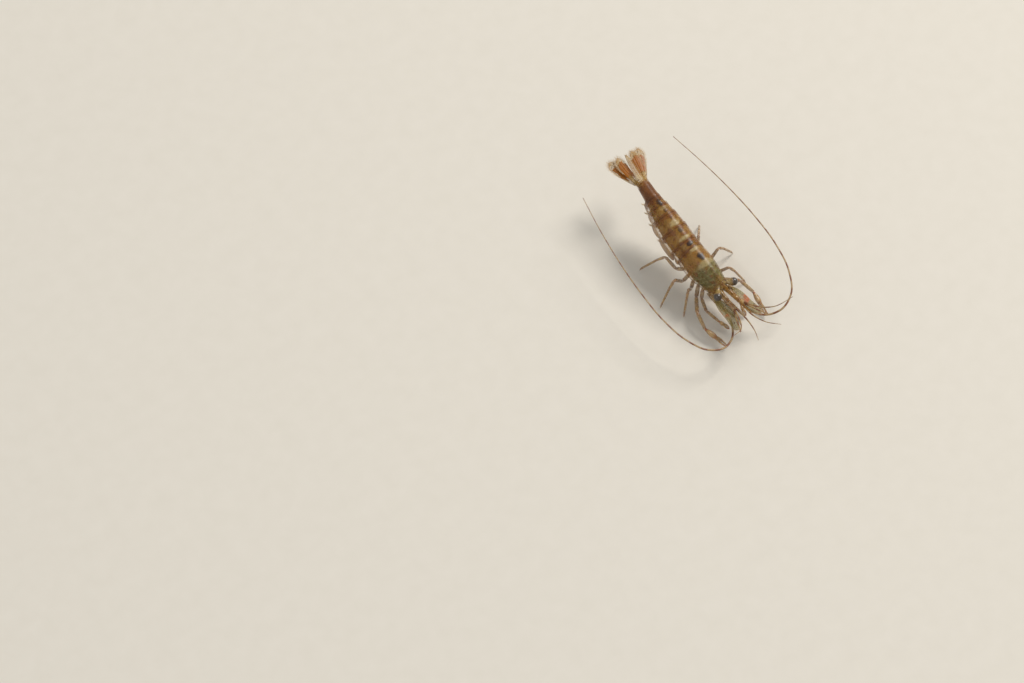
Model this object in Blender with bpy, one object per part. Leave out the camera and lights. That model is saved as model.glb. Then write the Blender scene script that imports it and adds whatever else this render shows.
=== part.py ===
"""Ghost shrimp: a glass prawn of about 48 mm, standing on its walking legs with the tail raised.

Lengths are in millimetres up to Part.finish, which makes them metres. The body is described along its
midline: `place` runs back from the eye sockets, `across` to the animal's left and `up` to its back. The
head points to -Y, the left side is +X, and the walking legs stand on Z = 0.
"""

import math
from bisect import bisect_right

import bmesh
import bpy
import numpy as np
from mathutils import Vector

MM = 0.001
GAP = 0.15  # clearance between neighbouring pieces

# Midline
SOCKET_HEIGHT = 8.6
CARAPACE_LENGTH = 10.8
SOMITE_ENDS = (10.8, 13.1, 17.0, 20.8, 23.4, 25.8, 30.6)
TAIL_END = 40.0
RISES = ((10, 8), (12, 11), (15, 15), (19, 17), (22, 15), (24.6, 13), (28.2, 11), (31.6, 9))  # climb, degrees
TURNS = ((-9, -6), (0, -4), (10, -2), (19, 1), (24, 3), (28, 4), (31.6, 6))  # bend to the left, degrees

# Trunk sections, as (place, size) knots
HALF_WIDTHS = (
    (0, 1.9), (3.5, 2.8), (7, 3.25), (11, 3.15), (15, 3.3), (19, 3.05), (22.5, 2.5), (25.8, 1.85), (30.6, 1.5),
)
BACKS = ((0, 2.2), (3.5, 3.2), (7, 3.7), (11, 3.65), (15, 3.75), (19, 3.6), (22.5, 2.9), (25.8, 2.05), (30.6, 1.35))
SIDE_LINES = ((0, -0.2), (11, -0.5), (21, -0.4), (30.6, 0.0))
BELLIES = ((10.8, -2.3), (17, -2.2), (23.4, -1.8), (25.8, -1.5), (30.6, -1.3))
CARAPACE_EDGES = ((0, -1.5), (1.5, -2.6), (4, -3.3), (7.5, -3.7), (10.8, -3.4))
WALL = 0.5  # thickness of shell edges, blades and pleura

# Each somite's side plate: how low it hangs, and how far its hind margin sweeps back below
PLEURON_TIPS = (-4.0, -4.9, -4.5, -3.8, -3.2)
MARGIN_SWEEPS = (0.0, -0.9, 0.9, 0.6, 0.5, 0.4, 0.0)

# Rostrum
ROSTRUM_LENGTH = 9.6
ROSTRUM_ROOT = 4.3
ROSTRUM_HALF_THICKNESS = 0.27
DORSAL_TEETH = 8
VENTRAL_TEETH = 3
TOOTH_HEIGHT = 0.4

# Limbs
SWIMMERET_LENGTHS = (3.9, 5.0, 5.0, 4.5, 4.0)
EYE_RADIUS = 0.95
EYE_CENTRES = {"left": (-1.0, 2.75, 1.5), "right": (-1.7, 2.65, 1.5)}
FOOT_RADIUS = 0.26
HIPS = {1: (3.4, 1.65, -4.8), 2: (4.9, 1.7, -4.85), 3: (6.5, 1.75, -4.9), 4: (8.1, 1.75, -4.9), 5: (9.7, 1.7, -4.8)}
WALKING_ARTICLES = {3: (2.1, 4.4, 2.2, 4.6, 1.3), 4: (2.1, 4.6, 2.5, 5.2, 1.3), 5: (2.2, 4.8, 2.8, 6.4, 1.3)}
FEET = {
    ("left", 3): (8.7, 1.4), ("left", 4): (11.1, 9.4), ("left", 5): (9.4, 19.8),
    ("right", 3): (8.1, 2.6), ("right", 4): (11.0, 7.6), ("right", 5): (8.8, 18.4),
}
SIDES = {"left": 1, "right": -1}

COLOURS = {
    "shell": ((0.47, 0.29, 0.11), 0.3),
    "dark_shell": ((0.20, 0.07, 0.03), 0.3),
    "underside": ((0.50, 0.36, 0.18), 0.45),
    "tail_blade": ((0.42, 0.20, 0.08), 0.3),
    "limb": ((0.52, 0.33, 0.14), 0.35),
    "claw": ((0.58, 0.27, 0.10), 0.35),
    "stalk": ((0.36, 0.28, 0.14), 0.35),
    "eye": ((0.015, 0.010, 0.008), 0.12),
    "feeler": ((0.45, 0.25, 0.12), 0.4),
    "swimmeret": ((0.56, 0.42, 0.24), 0.4),
}


def smooth(place, knots):
    """A smooth curve through (place, value) knots, held level past its ends."""
    places, values = zip(*knots)
    if not places[0] < place < places[-1]:
        return float(values[0] if place <= places[0] else values[-1])
    slopes = np.gradient(values, places)
    i = bisect_right(places, place) - 1
    span = places[i + 1] - places[i]
    t = (place - places[i]) / span
    return float(
        values[i] * (1 + 2 * t) * (1 - t) ** 2
        + values[i + 1] * t * t * (3 - 2 * t)
        + span * slopes[i] * t * (1 - t) ** 2
        - span * slopes[i + 1] * t * t * (1 - t)
    )


TRACK = np.linspace(0, TAIL_END, 401)


def heading(place):
    """How far the midline climbs and turns at that place, in radians."""
    return tuple(math.radians(float(np.interp(place, *zip(*knots)))) for knots in (RISES, TURNS))


def axes(place):
    """Unit vectors at that place: back along the midline, out to the left, and up to the back."""
    climb, turn = heading(place)
    along = Vector((math.sin(turn) * math.cos(climb), math.cos(turn) * math.cos(climb), math.sin(climb)))
    left = Vector((math.cos(turn), -math.sin(turn), 0))
    return along, left, left.cross(along)


STEPS = np.array([axes(place)[0] for place in TRACK[:-1] + np.diff(TRACK) / 2]) * np.diff(TRACK)[:, None]
MIDLINE = np.concatenate([[(0, 0, SOCKET_HEIGHT)], (0, 0, SOCKET_HEIGHT) + np.cumsum(STEPS, axis=0)])


def body(place, across, up):
    """The point of the posed animal at these body coordinates."""
    along, left, back = axes(place)
    centre = Vector([float(np.interp(place, TRACK, MIDLINE[:, i])) for i in range(3)])
    return centre + along * min(place, 0) + left * across + back * up


def body_way(place):
    """Turns a direction given as (back, left, up) with the body at that place."""
    frame = axes(place)
    return lambda *parts: sum((axis * part for axis, part in zip(frame, parts)), Vector())


class Part:
    """One named object while its mesh is being made."""

    def __init__(self, name, finish):
        self.name, self.finish_name, self.bm = name, finish, bmesh.new()

    def sheet(self, columns, rows, outside, inside):
        """A closed plate: a grid laid on outside(u, v), thickened to inside(u, v), with u and v from 0 to 1."""
        made = bmesh.ops.create_grid(self.bm, x_segments=columns, y_segments=rows, size=0.5)
        spots = {v: (v.co.x + 0.5, v.co.y + 0.5) for v in made["verts"]}
        faces = list({f for v in spots for f in v.link_faces})
        grown = bmesh.ops.extrude_face_region(self.bm, geom=faces, use_keep_orig=True)
        inner = [g for g in grown["geom"] if isinstance(g, bmesh.types.BMVert)]
        inner_spots = {v: (v.co.x + 0.5, v.co.y + 0.5) for v in inner}
        for v, (a, b) in spots.items():
            v.co = outside(a, b)
        for v, (a, b) in inner_spots.items():
            v.co = inside(a, b)
        return self

    def loft(self, rings):
        """A closed body through rings of points, each ring drawn out of the last one."""
        number = self.bm.verts.layers.int.new("number")
        first = [self.bm.verts.new(p) for p in rings[0]]
        for i, v in enumerate(first):
            v[number] = i
        edges = [self.bm.edges.new((a, b)) for a, b in zip(first, first[1:] + first[:1])]
        bmesh.ops.contextual_create(self.bm, geom=edges)
        for ring in rings[1:]:
            grown = bmesh.ops.extrude_edge_only(self.bm, edges=edges)["geom"]
            edges = [g for g in grown if isinstance(g, bmesh.types.BMEdge)]
            for v in {v for e in edges for v in e.verts}:
                v.co = ring[v[number]]
        bmesh.ops.contextual_create(self.bm, geom=edges)
        return self

    def finish(self):
        """Makes the object, in metres, with its faces out and its material on."""
        bmesh.ops.recalc_face_normals(self.bm, faces=self.bm.faces)
        if self.bm.calc_volume(signed=True) < 0:
            bmesh.ops.reverse_faces(self.bm, faces=self.bm.faces)
        bmesh.ops.scale(self.bm, vec=(MM, MM, MM), verts=self.bm.verts)
        mesh = bpy.data.meshes.new(self.name)
        self.bm.to_mesh(mesh)
        self.bm.free()
        mesh.shade_smooth()
        mesh.set_sharp_from_angle(angle=math.radians(40))
        mesh.materials.append(material(self.finish_name))
        made = bpy.data.objects.new(self.name, mesh)
        bpy.context.scene.collection.objects.link(made)
        return made


def material(name):
    """The finish of that name, made once."""
    found = bpy.data.materials.get(name)
    if found:
        return found
    colour, roughness = COLOURS[name]
    made = bpy.data.materials.new(name)
    made.use_nodes = True
    shader = made.node_tree.nodes["Principled BSDF"]
    shader.inputs["Base Color"].default_value = (*colour, 1)
    shader.inputs["Roughness"].default_value = roughness
    shader.inputs["Metallic"].default_value = 0
    return made


def joined(whole, extra):
    """whole with extra united into it; extra stays behind as a hidden helper."""
    union = whole.modifiers.new("joined", "BOOLEAN")
    union.operation, union.solver, union.object = "UNION", "EXACT", extra
    extra.hide_render, extra.display_type = True, "WIRE"
    return whole


# ------------------------------------------------------------------ trunk


def arch(place, w, shoulder, tuck, tip):
    """Outer skin of a trunk section. w is 0 at the back and 1 at the lower edge; the roof ends at shoulder."""
    half, top, side = (smooth(place, knots) for knots in (HALF_WIDTHS, BACKS, SIDE_LINES))
    if abs(w) <= shoulder:
        turn = abs(w) / shoulder * math.pi / 2
        return math.copysign(half * math.sin(turn), w), side + (top - side) * math.cos(turn)
    fall = (abs(w) - shoulder) / (1 - shoulder)
    return math.copysign(half * (1 - tuck * fall**2), w), side + (tip - side) * fall


def under(half, w, corner, tip, roof):
    """Inner skin of a trunk section: up the inside of the side plate, then level across."""
    inner = half - WALL
    if abs(w) > corner:
        climb = (1 - abs(w)) / (1 - corner)
        return math.copysign(inner, w), tip + (roof - tip) * climb
    return inner * w / corner, roof


def margin(number, up):
    """Place of the margin behind somite `number` at that height; low down it sweeps back or forward."""
    low = min(max((-up - 0.6) / 2.6, 0), 1)
    return SOMITE_ENDS[number] + MARGIN_SWEEPS[number] * low * low * (3 - 2 * low)


def in_somite(number, v, section):
    """The body point of section(place) that lies at v, from 0 to 1, between the margins of a somite."""
    place = SOMITE_ENDS[number - 1] + (SOMITE_ENDS[number] - SOMITE_ENDS[number - 1]) * v
    for _ in range(6):
        across, up = section(place)
        front, rear = margin(number - 1, up) + GAP / 2, margin(number, up) - GAP / 2
        place = front + (rear - front) * v
    return body(place, across, up)


def make_somite(number):
    """One of the first five abdominal rings, arched over the back and hanging down as a plate on each side."""
    shoulder, tuck, corner = 0.6, 0.12, 0.7
    tip_up = PLEURON_TIPS[number - 1]

    def tip(place, v):
        side = smooth(place, SIDE_LINES)
        return side + (tip_up - side) * (0.66 + 0.34 * math.sqrt(max(0.0, 1 - abs(2 * v - 1) ** 2.4)))

    def outside(u, v):
        def section(place):
            across, up = arch(place, 2 * u - 1, shoulder, tuck, tip(place, v))
            tile = 0.96 + 0.04 * min(1, 3 * v) + 0.015 * v
            return across * tile, up * tile if up > 0 else up

        return in_somite(number, v, section)

    def inside(u, v):
        def section(place):
            half = smooth(place, HALF_WIDTHS) * (1 - tuck)
            return under(half, 2 * u - 1, corner, tip(place, v), smooth(place, BELLIES))

        return in_somite(number, v, section)

    return Part(f"abdomen_{number}", "shell").sheet(16, 3, outside, inside).finish()


def make_last_somite():
    """The sixth ring, a plain tapering barrel."""
    rings = []
    for v in np.linspace(0, 1, 5):
        ring = []
        for turn in np.linspace(0, 2 * math.pi, 14, endpoint=False):

            def section(place, turn=turn):
                half, top, side, belly = (smooth(place, k) for k in (HALF_WIDTHS, BACKS, SIDE_LINES, BELLIES))
                reach = (top - side) if math.cos(turn) > 0 else (side - belly)
                return half * math.sin(turn), side + reach * math.cos(turn)

            ring.append(in_somite(6, v, section))
        rings.append(ring)
    return Part("abdomen_6", "dark_shell").loft(rings).finish()


def make_carapace():
    """The head and chest shield, with its toothed rostrum."""
    shoulder, tuck, corner = 0.55, 0.18, 0.86
    fronts = ((0, 0.0), (0.3, 0.55), (0.5, 0.0), (0.7, 0.35), (1, 1.6))
    rears = ((0, CARAPACE_LENGTH), (0.5, CARAPACE_LENGTH), (0.8, CARAPACE_LENGTH), (1, CARAPACE_LENGTH - 0.6))

    def station(u, v):
        w = 2 * u - 1
        front, rear = smooth(abs(w), fronts), smooth(abs(w), rears) - GAP / 2
        place = front + (rear - front) * v
        return w, place, smooth(place, CARAPACE_EDGES)

    def outside(u, v):
        w, place, edge = station(u, v)
        return body(place, *arch(place, w, shoulder, tuck, edge))

    def inside(u, v):
        w, place, edge = station(u, v)
        half = smooth(place, HALF_WIDTHS) * (1 - tuck)
        return body(place, *under(half, w, corner, edge, edge + WALL + 0.05))

    shield = Part("carapace", "shell").sheet(18, 9, outside, inside).finish()
    return joined(shield, make_rostrum())


def make_rostrum():
    """The blade between the eyes: a toothed outline, drawn out sideways."""
    def ridge(place):
        return smooth(place, ((-ROSTRUM_LENGTH, 3.1), (-5, 2.75), (0, 2.75), (ROSTRUM_ROOT, 3.35)))

    def keel(place):
        return smooth(place, ((-ROSTRUM_LENGTH, 2.85), (-6, 1.85), (-3, 1.6), (0, 1.7), (ROSTRUM_ROOT, 2.7)))

    outline = []
    for place in np.linspace(ROSTRUM_ROOT, -0.86 * ROSTRUM_LENGTH, DORSAL_TEETH):
        outline += [(place, ridge(place)), (place - 0.75, ridge(place) + TOOTH_HEIGHT)]
    outline.append((-ROSTRUM_LENGTH, ridge(-ROSTRUM_LENGTH)))
    for place in np.linspace(-0.78 * ROSTRUM_LENGTH, -0.3 * ROSTRUM_LENGTH, VENTRAL_TEETH):
        outline += [(place - 0.35, keel(place) - 0.6 * TOOTH_HEIGHT), (place, keel(place))]
    outline += [(0.6, keel(0.6)), (ROSTRUM_ROOT, keel(ROSTRUM_ROOT))]
    blade = Part("rostrum_helper", "shell")
    left = [blade.bm.verts.new(body(s, ROSTRUM_HALF_THICKNESS, z)) for s, z in outline]
    face = blade.bm.faces.new(left)
    grown = bmesh.ops.extrude_face_region(blade.bm, geom=[face], use_keep_orig=True)["geom"]
    right = [g for g in grown if isinstance(g, bmesh.types.BMVert)]
    bmesh.ops.translate(blade.bm, verts=right, vec=(-2 * ROSTRUM_HALF_THICKNESS, 0, 0))
    return blade.finish()


def make_thorax():
    """The underside of head and chest, a keeled trough between the leg bases, ending in front at the mouth."""
    tops = ((-0.4, 0.7), (1, 1.2), (3, 1.5), (7, 1.85), (11.3, 1.4))
    bottoms = ((-0.4, -2.3), (1.3, -4.1), (5, -4.9), (10, -4.8), (11.3, -3.8))
    rings = []
    for place in (-0.4, 0.3, 1.3, 2.7, 4.5, 6.8, 9, 10.5, 11.3):
        roof = smooth(place, CARAPACE_EDGES) + WALL + 0.05 - 2 * GAP
        floor, half = smooth(place, bottoms), smooth(place, tops)
        depth = roof - floor
        section = ((0, 0), (0.8, 0), (1, -0.3), (0.72, -0.7), (0.5, -0.94), (0, -1))
        right = [(-y, z) for y, z in section[-2:0:-1]]
        rings.append([body(place, half * y, roof + depth * z) for y, z in (*section, *right)])
    return Part("thorax", "underside").loft(rings).finish()


# ------------------------------------------------------------------ blades


def blade(name, finish, root, way, across, length, outer, inner, thickness, columns=4, rows=7):
    """A flat leaf from root along way; outer and inner give its edges, to either side, as (share of length, mm)."""
    way, across = way.normalized(), across.normalized()
    face = way.cross(across).normalized()

    def at(u, v, rise):
        left, right = smooth(v, outer), -smooth(v, inner)
        side = right + (left - right) * u
        round_off = 1 - 0.35 * abs(2 * u - 1) ** 2
        return root + way * (length * v) + across * side + face * (rise * thickness / 2 * round_off)

    return Part(name, finish).sheet(columns, rows, lambda u, v: at(u, v, 1), lambda u, v: at(u, v, -1)).finish()


def make_tail_fan():
    """The telson on top, and an inner and an outer blade fanned out on each side below it."""
    root = SOMITE_ENDS[6] + GAP
    turned = body_way(root)
    taper = ((0, 0.95), (0.5, 0.75), (0.9, 0.42), (1, 0.25))
    blade("telson", "tail_blade", body(root, 0, 0.6), turned(1, 0, -0.02), turned(0, 1, 0), 7.2, taper, taper, 0.6)
    for side, sign in SIDES.items():
        for ramus, across, up, fan, droop, length, outer, inner in (
            ("endopod", 1.0, -0.15, 7, 0.03, 7.6,
             ((0, 0.4), (0.35, 0.95), (0.75, 1.05), (0.93, 0.7), (1, 0.2)),
             ((0, 0.4), (0.35, 0.75), (0.75, 0.85), (0.93, 0.6), (1, 0.2))),
            ("exopod", 1.2, -0.8, 19, 0.05, 8.2,
             ((0, 0.4), (0.3, 0.9), (0.7, 1.1), (0.93, 0.8), (1, 0.25)),
             ((0, 0.4), (0.3, 1.05), (0.7, 1.5), (0.93, 1.0), (1, 0.25))),
        ):
            lean = math.radians(fan)
            way = turned(math.cos(lean), sign * math.sin(lean), -droop)
            spread = turned(-math.sin(lean), sign * math.cos(lean), -droop)
            start = body(root + 0.1, sign * across, up)
            blade(f"uropod_{ramus}_{side}", "tail_blade", start, way, spread, length, outer, inner, WALL)


def make_antennal_scales():
    """The broad scale beside each feeler: straight outside with a spine, bowed inside."""
    for side, sign in SIDES.items():
        way = body_way(-1)(-1, sign * 0.10, 0.03)
        spread = body_way(-1)(0.10, sign, -0.22)
        blade(
            f"antennal_scale_{side}", "tail_blade", body(-1.1, sign * 2.5, -0.95), way, spread, 9.0,
            ((0, 0.4), (0.15, 0.75), (0.6, 0.8), (0.92, 0.72), (1, 0.6)),
            ((0, 0.4), (0.2, 1.25), (0.6, 1.45), (0.9, 0.95), (1, 0.1)), WALL,
        )


def make_swimmerets():
    """Five pairs of forked paddles under the abdomen, folded back."""
    for number in range(1, 6):
        place = (SOMITE_ENDS[number - 1] + SOMITE_ENDS[number]) / 2 - 0.3
        room = smooth(place + 2, HALF_WIDTHS) * 0.88 - WALL - GAP
        length = SWIMMERET_LENGTHS[number - 1]
        for side, sign in SIDES.items():
            turned = body_way(place)
            root = body(place, sign * (room / 2 + 0.05), smooth(place, BELLIES) - GAP - 0.2)
            way, across = turned(0.66, 0, -0.75).normalized(), turned(0, sign, 0)
            face = way.cross(across).normalized()
            half = room / 2 - 0.08

            def at(u, v, rise, root=root, way=way, across=across, face=face, half=half, length=length):
                width = half * smooth(v, ((0, 0.45), (0.3, 0.7), (0.65, 1.0), (0.9, 0.8), (1, 0.5)))
                fork = 1 - 0.22 * math.exp(-(((u - 0.45) / 0.16) ** 2)) - 0.12 * (2 * u - 1) ** 2
                reach = length * v * (1 - (1 - fork) * v * v)
                return root + way * reach + across * (width * (2 * u - 1)) + face * (rise * WALL / 2)

            Part(f"pleopod_{number}_{side}", "swimmeret").sheet(
                5, 5, lambda u, v, at=at: at(u, v, 1), lambda u, v, at=at: at(u, v, -1)
            ).finish()


# ------------------------------------------------------------------ limbs


def ring_at(centre, way, guide, radius, sides, flat=1.0):
    """A ring of points square to way; flat below 1 squeezes it along guide's square."""
    way = way.normalized()
    first = (guide - way * guide.dot(way)).normalized()
    second = way.cross(first)
    turns = (2 * math.pi * i / sides for i in range(sides))
    return [centre + first * (radius * math.cos(t)) + second * (radius * flat * math.sin(t)) for t in turns], first


def limb_rings(joints, widths, sides=8, guide=Vector((0, 0, 1)), belly=1.12, foot=False):
    """Rings along a jointed limb: each article swells a little between its joints, and a foot ends flat on Z = 0."""
    rings = []
    ways = [(b - a).normalized() for a, b in zip(joints, joints[1:])]
    for i, way in enumerate(ways):
        start, end = joints[i], joints[i + 1]
        length = (end - start).length
        trims = []
        for j in (i, i + 1):
            bend = ways[j - 1].angle(ways[j]) if 0 < j < len(ways) else 0
            trims.append(widths[j] * math.tan(bend / 2) + 0.08 if 0 < j < len(ways) else 0)
        middle = (widths[i] + widths[i + 1]) / 2 * belly
        for distance, radius in ((trims[0], widths[i]), (length / 2, middle), (length - trims[1], widths[i + 1])):
            ring, guide = ring_at(start + way * distance, way, guide, radius, sides)
            rings.append(ring)
    if foot:
        way = ways[-1]
        rings[-1] = [p - way * (p.z / way.z) for p in rings[-1]]
    return rings


def tube_rings(points, widths, sides=6, guide=Vector((0, 0, 1))):
    """Rings along a smooth run of points."""
    rings = []
    for i, point in enumerate(points):
        way = points[min(i + 1, len(points) - 1)] - points[max(i - 1, 0)]
        ring, guide = ring_at(point, way, guide, widths[i], sides)
        rings.append(ring)
    return rings


def smooth_run(knots, count):
    """count points, evenly spaced, on a smooth curve through knots."""
    spans = [(b - a).length for a, b in zip(knots, knots[1:])]
    reached = [sum(spans[:i]) for i in range(len(knots))]
    curves = [tuple(zip(reached, values)) for values in zip(*knots)]
    return [Vector([smooth(t, curve) for curve in curves]) for t in np.linspace(0, reached[-1], count)]


def make_eyes():
    """A stalk and a domed cornea on each side of the rostrum."""
    for side, sign in SIDES.items():
        place, across, up = EYE_CENTRES[side]
        centre = body(place, sign * across, up)
        root = body(-0.35, sign * 0.85, 1.42)
        way = (centre - root).normalized()
        cut = centre - way * (0.35 * EYE_RADIUS)
        stalk = (root, root + way * 0.7, cut - way * GAP)
        Part(f"eyestalk_{side}", "stalk").loft(tube_rings(stalk, (0.45, 0.5, 0.82), sides=10)).finish()
        cornea = Part(f"eye_{side}", "eye")
        bmesh.ops.create_uvsphere(cornea.bm, u_segments=14, v_segments=9, radius=EYE_RADIUS)
        bmesh.ops.translate(cornea.bm, verts=cornea.bm.verts, vec=centre)
        geom = [*cornea.bm.verts, *cornea.bm.edges, *cornea.bm.faces]
        made = bmesh.ops.bisect_plane(cornea.bm, geom=geom, plane_co=cut, plane_no=-way, clear_outer=True)
        rim = [g for g in made["geom_cut"] if isinstance(g, bmesh.types.BMEdge)]
        bmesh.ops.contextual_create(cornea.bm, geom=rim)
        cornea.finish()


def make_antennules():
    """The first feelers: a three-jointed base, then two long whips and a short one."""
    whips = {
        "outer": ((0.30, 0.40), (1.2, 3.2, 1.4), (3.4, 6.4, 3.9), (6.8, 8.0, 6.8)),
        "inner": ((-0.38, 0.05), (0.0, 3.6, 0.5), (0.8, 7.2, 1.7), (2.4, 10.6, 3.6)),
        "short": ((0.42, -0.35), (0.9, 2.0, 0.1), (1.6, 3.9, 0.4), (2.3, 5.2, 0.8)),
    }
    for side, sign in SIDES.items():
        joints = [body(s, sign * y, z) for s, y, z in ((-0.3, 0.98, 0.1), (-3.4, 1.05, 0.15), (-4.7, 1.15, 0.25), (-6.2, 1.25, 0.35))]
        Part(f"antennule_base_{side}", "limb").loft(limb_rings(joints, (0.72, 0.62, 0.55, 0.62), belly=1.02)).finish()
        tip = joints[-1] + (joints[-1] - joints[-2]).normalized() * (GAP + 0.08)
        for whip, ((across, up), *steps) in whips.items():
            start = tip + Vector((sign * across, 0, up))
            knots = [start] + [start + Vector((sign * x, -y, z)) for x, y, z in steps]
            points = smooth_run(knots, 11 if whip != "short" else 6)
            widths = np.linspace(0.26, 0.25, len(points))
            Part(f"antennule_{whip}_{side}", "feeler").loft(tube_rings(points, widths, sides=5)).finish()


def make_antennae():
    """The second feelers: a jointed base and a whip, in two lengths, that swings forward, out and back."""
    for side, sign in SIDES.items():
        joints = [body(s, sign * y, z) for s, y, z in ((-0.3, 1.75, -2.0), (-1.9, 1.95, -2.15), (-4.3, 2.1, -2.3))]
        Part(f"antenna_base_{side}", "limb").loft(limb_rings(joints, (0.6, 0.6, 0.5), belly=1.04)).finish()
        root = joints[-1] + (joints[-1] - joints[-2]).normalized() * (GAP + 0.1)
        lift = {"left": 1.25, "right": 1.0}[side]
        steps = (
            (0.7, -3.2, -0.5), (3.0, -6.2, -0.4), (6.4, -7.4, 0.4), (9.9, -6.0, 1.4), (12.6, -1.6, 2.4),
            (14.0, 5.0, 3.4), (14.2, 13.0, 4.4), (13.6, 22.0, 5.3), (12.4, 31.0, 6.2), (10.8, 39.6, 7.1),
        )
        knots = [root] + [root + Vector((sign * x, y, z * lift)) for x, y, z in steps]
        points = smooth_run(knots, 39)
        widths = np.linspace(0.32, 0.25, len(points))
        rings = tube_rings(points, widths)
        half = 17
        way = (points[half + 1] - points[half]).normalized()
        far = [[p + way * GAP for p in rings[half]]] + rings[half + 1:]
        Part(f"antenna_1_{side}", "feeler").loft(rings[: half + 1]).finish()
        Part(f"antenna_2_{side}", "feeler").loft(far).finish()


def make_maxillipeds():
    """The hindmost mouth limbs, held forward under the head."""
    for side, sign in SIDES.items():
        joints = [body(s, sign * y, z) for s, y, z in ((1.5, 0.95, -4.95), (-1.7, 1.15, -4.75), (-4.4, 1.05, -4.0), (-6.5, 0.9, -3.3))]
        Part(f"maxilliped_{side}", "limb").loft(limb_rings(joints, (0.38, 0.36, 0.32, 0.26))).finish()


def make_claw(name, wrist, way, guide, length, palm):
    """A pincer: a palm that runs on into the fixed finger, and a movable finger beside it."""
    way = way.normalized()
    side = (guide - way * guide.dot(way)).normalized()
    reach = length * 0.52
    start = wrist + way * (GAP + 0.1)
    fixed = (
        start, start + way * 0.35, start + way * (reach * 0.6), start + way * reach - side * 0.05,
        start + way * (reach + 0.5) - side * 0.31, start + way * (length * 0.8) - side * 0.33,
        start + way * length - side * 0.27,
    )
    palm_rings = tube_rings(fixed, (0.36, palm * 0.85, palm, palm * 0.86, 0.28, 0.26, 0.25), sides=8, guide=side)
    whole = Part(name, "claw").loft(palm_rings).finish()
    moving = (
        start + way * (reach - 0.3) + side * 0.12, start + way * (reach + 0.45) + side * 0.33,
        start + way * (length * 0.8) + side * 0.35, start + way * (length - 0.05) + side * 0.28,
    )
    finger = Part(f"{name}_helper", "claw").loft(tube_rings(moving, (0.26, 0.26, 0.25, 0.25), sides=8, guide=side))
    return joined(whole, finger.finish())


def make_pincer_legs():
    """The first two pairs of legs, which end in pincers and are held forward, clear of the floor."""
    routes = {
        1: ((2.1, 2.95, -5.7), (-1.0, 4.3, -5.1), (-4.3, 3.4, -6.1), (-6.9, 2.6, -6.7)),
        2: ((3.1, 3.7, -5.5), (-0.2, 6.5, -4.4), (-4.0, 7.4, -5.4), (-10.0, 6.2, -6.2)),
    }
    widths = {1: (0.48, 0.42, 0.34, 0.3), 2: (0.5, 0.46, 0.42, 0.4)}
    for number, route in routes.items():
        for side, sign in SIDES.items():
            points = [body(s, sign * y, z) for s, y, z in (HIPS[number], *route)]
            rings = limb_rings(points[:-1], widths[number])
            Part(f"pereopod_{number}_{side}", "limb").loft(rings).finish()
            way = points[-1] - points[-2]
            make_claw(f"claw_{number}_{side}", points[-2], way, Vector((-sign, 0, 0)), way.length, 0.45 + 0.17 * (number - 1))


def leg_joints(number, side):
    """Joints of a walking leg from hip to foot, with the knee raised in the upright plane through both."""
    sign = SIDES[side]
    place, across, up = HIPS[number]
    ischium, merus, carpus, propodus, dactyl = WALKING_ARTICLES[number]
    hip = body(place, sign * across, up)
    foot = Vector((sign * FEET[side, number][0], FEET[side, number][1], 0))
    level = Vector((foot.x - hip.x, foot.y - hip.y, 0)).normalized()
    first = hip + (level * 0.94 + Vector((0, 0, -0.34))) * ischium
    line = foot - first
    shin = (carpus + propodus + dactyl) * 0.985
    turn = math.acos((merus**2 + line.length**2 - shin**2) / (2 * merus * line.length))
    rise = turn + math.asin(line.z / line.length)
    flat = Vector((line.x, line.y, 0)).normalized()
    knee = first + (flat * math.cos(rise) + Vector((0, 0, math.sin(rise)))) * merus
    down = (foot - knee).normalized()
    bow = (flat - down * flat.dot(down)).normalized()
    wrist = knee + down * carpus + bow * 0.35
    ankle = foot - down * dactyl + bow * 0.25
    return hip, first, knee, wrist, ankle, foot


def make_walking_legs():
    """The last three pairs of legs, which carry the body."""
    for side, number in FEET:
        joints = leg_joints(number, side)
        rings = limb_rings(joints, (0.48, 0.44, 0.36, 0.31, 0.27, FOOT_RADIUS), belly=1.08, foot=True)
        Part(f"pereopod_{number}_{side}", "limb").loft(rings).finish()


def stand_on_origin():
    """Moves the whole animal so that the middle of its box stands on the origin."""
    bpy.context.view_layer.update()
    pieces = [o for o in bpy.data.objects if not o.hide_render]
    corners = np.array([v.co for o in pieces for v in o.data.vertices])
    middle = (corners.min(axis=0) + corners.max(axis=0)) / 2
    carrier = bpy.data.objects.new("ghost_shrimp", None)
    bpy.context.scene.collection.objects.link(carrier)
    for made in [o for o in bpy.data.objects if o is not carrier]:
        made.parent = carrier
    carrier.location = (-middle[0], -middle[1], 0)


def main():
    for old in list(bpy.data.objects):
        bpy.data.objects.remove(old)
    make_carapace()
    make_thorax()
    for number in range(1, 6):
        make_somite(number)
    make_last_somite()
    make_tail_fan()
    make_swimmerets()
    make_eyes()
    make_antennules()
    make_antennae()
    make_antennal_scales()
    make_maxillipeds()
    make_pincer_legs()
    make_walking_legs()
    stand_on_origin()


main()
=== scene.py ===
# %% [markdown]
# # A ghost shrimp
# This lesson dresses a small glass prawn, 48 mm long, standing on its walking legs. The solids that
# carry it are already made. They come in as a fixed frame, and every piece below is a finer, thinner
# or clearer version of one of them. We work in millimetres along the bent body and turn them into
# metres at the very end of each piece.

# %% Load the frame
import math
import random

import bmesh
import bpy
import numpy as np
from mathutils import Matrix, Vector


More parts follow.
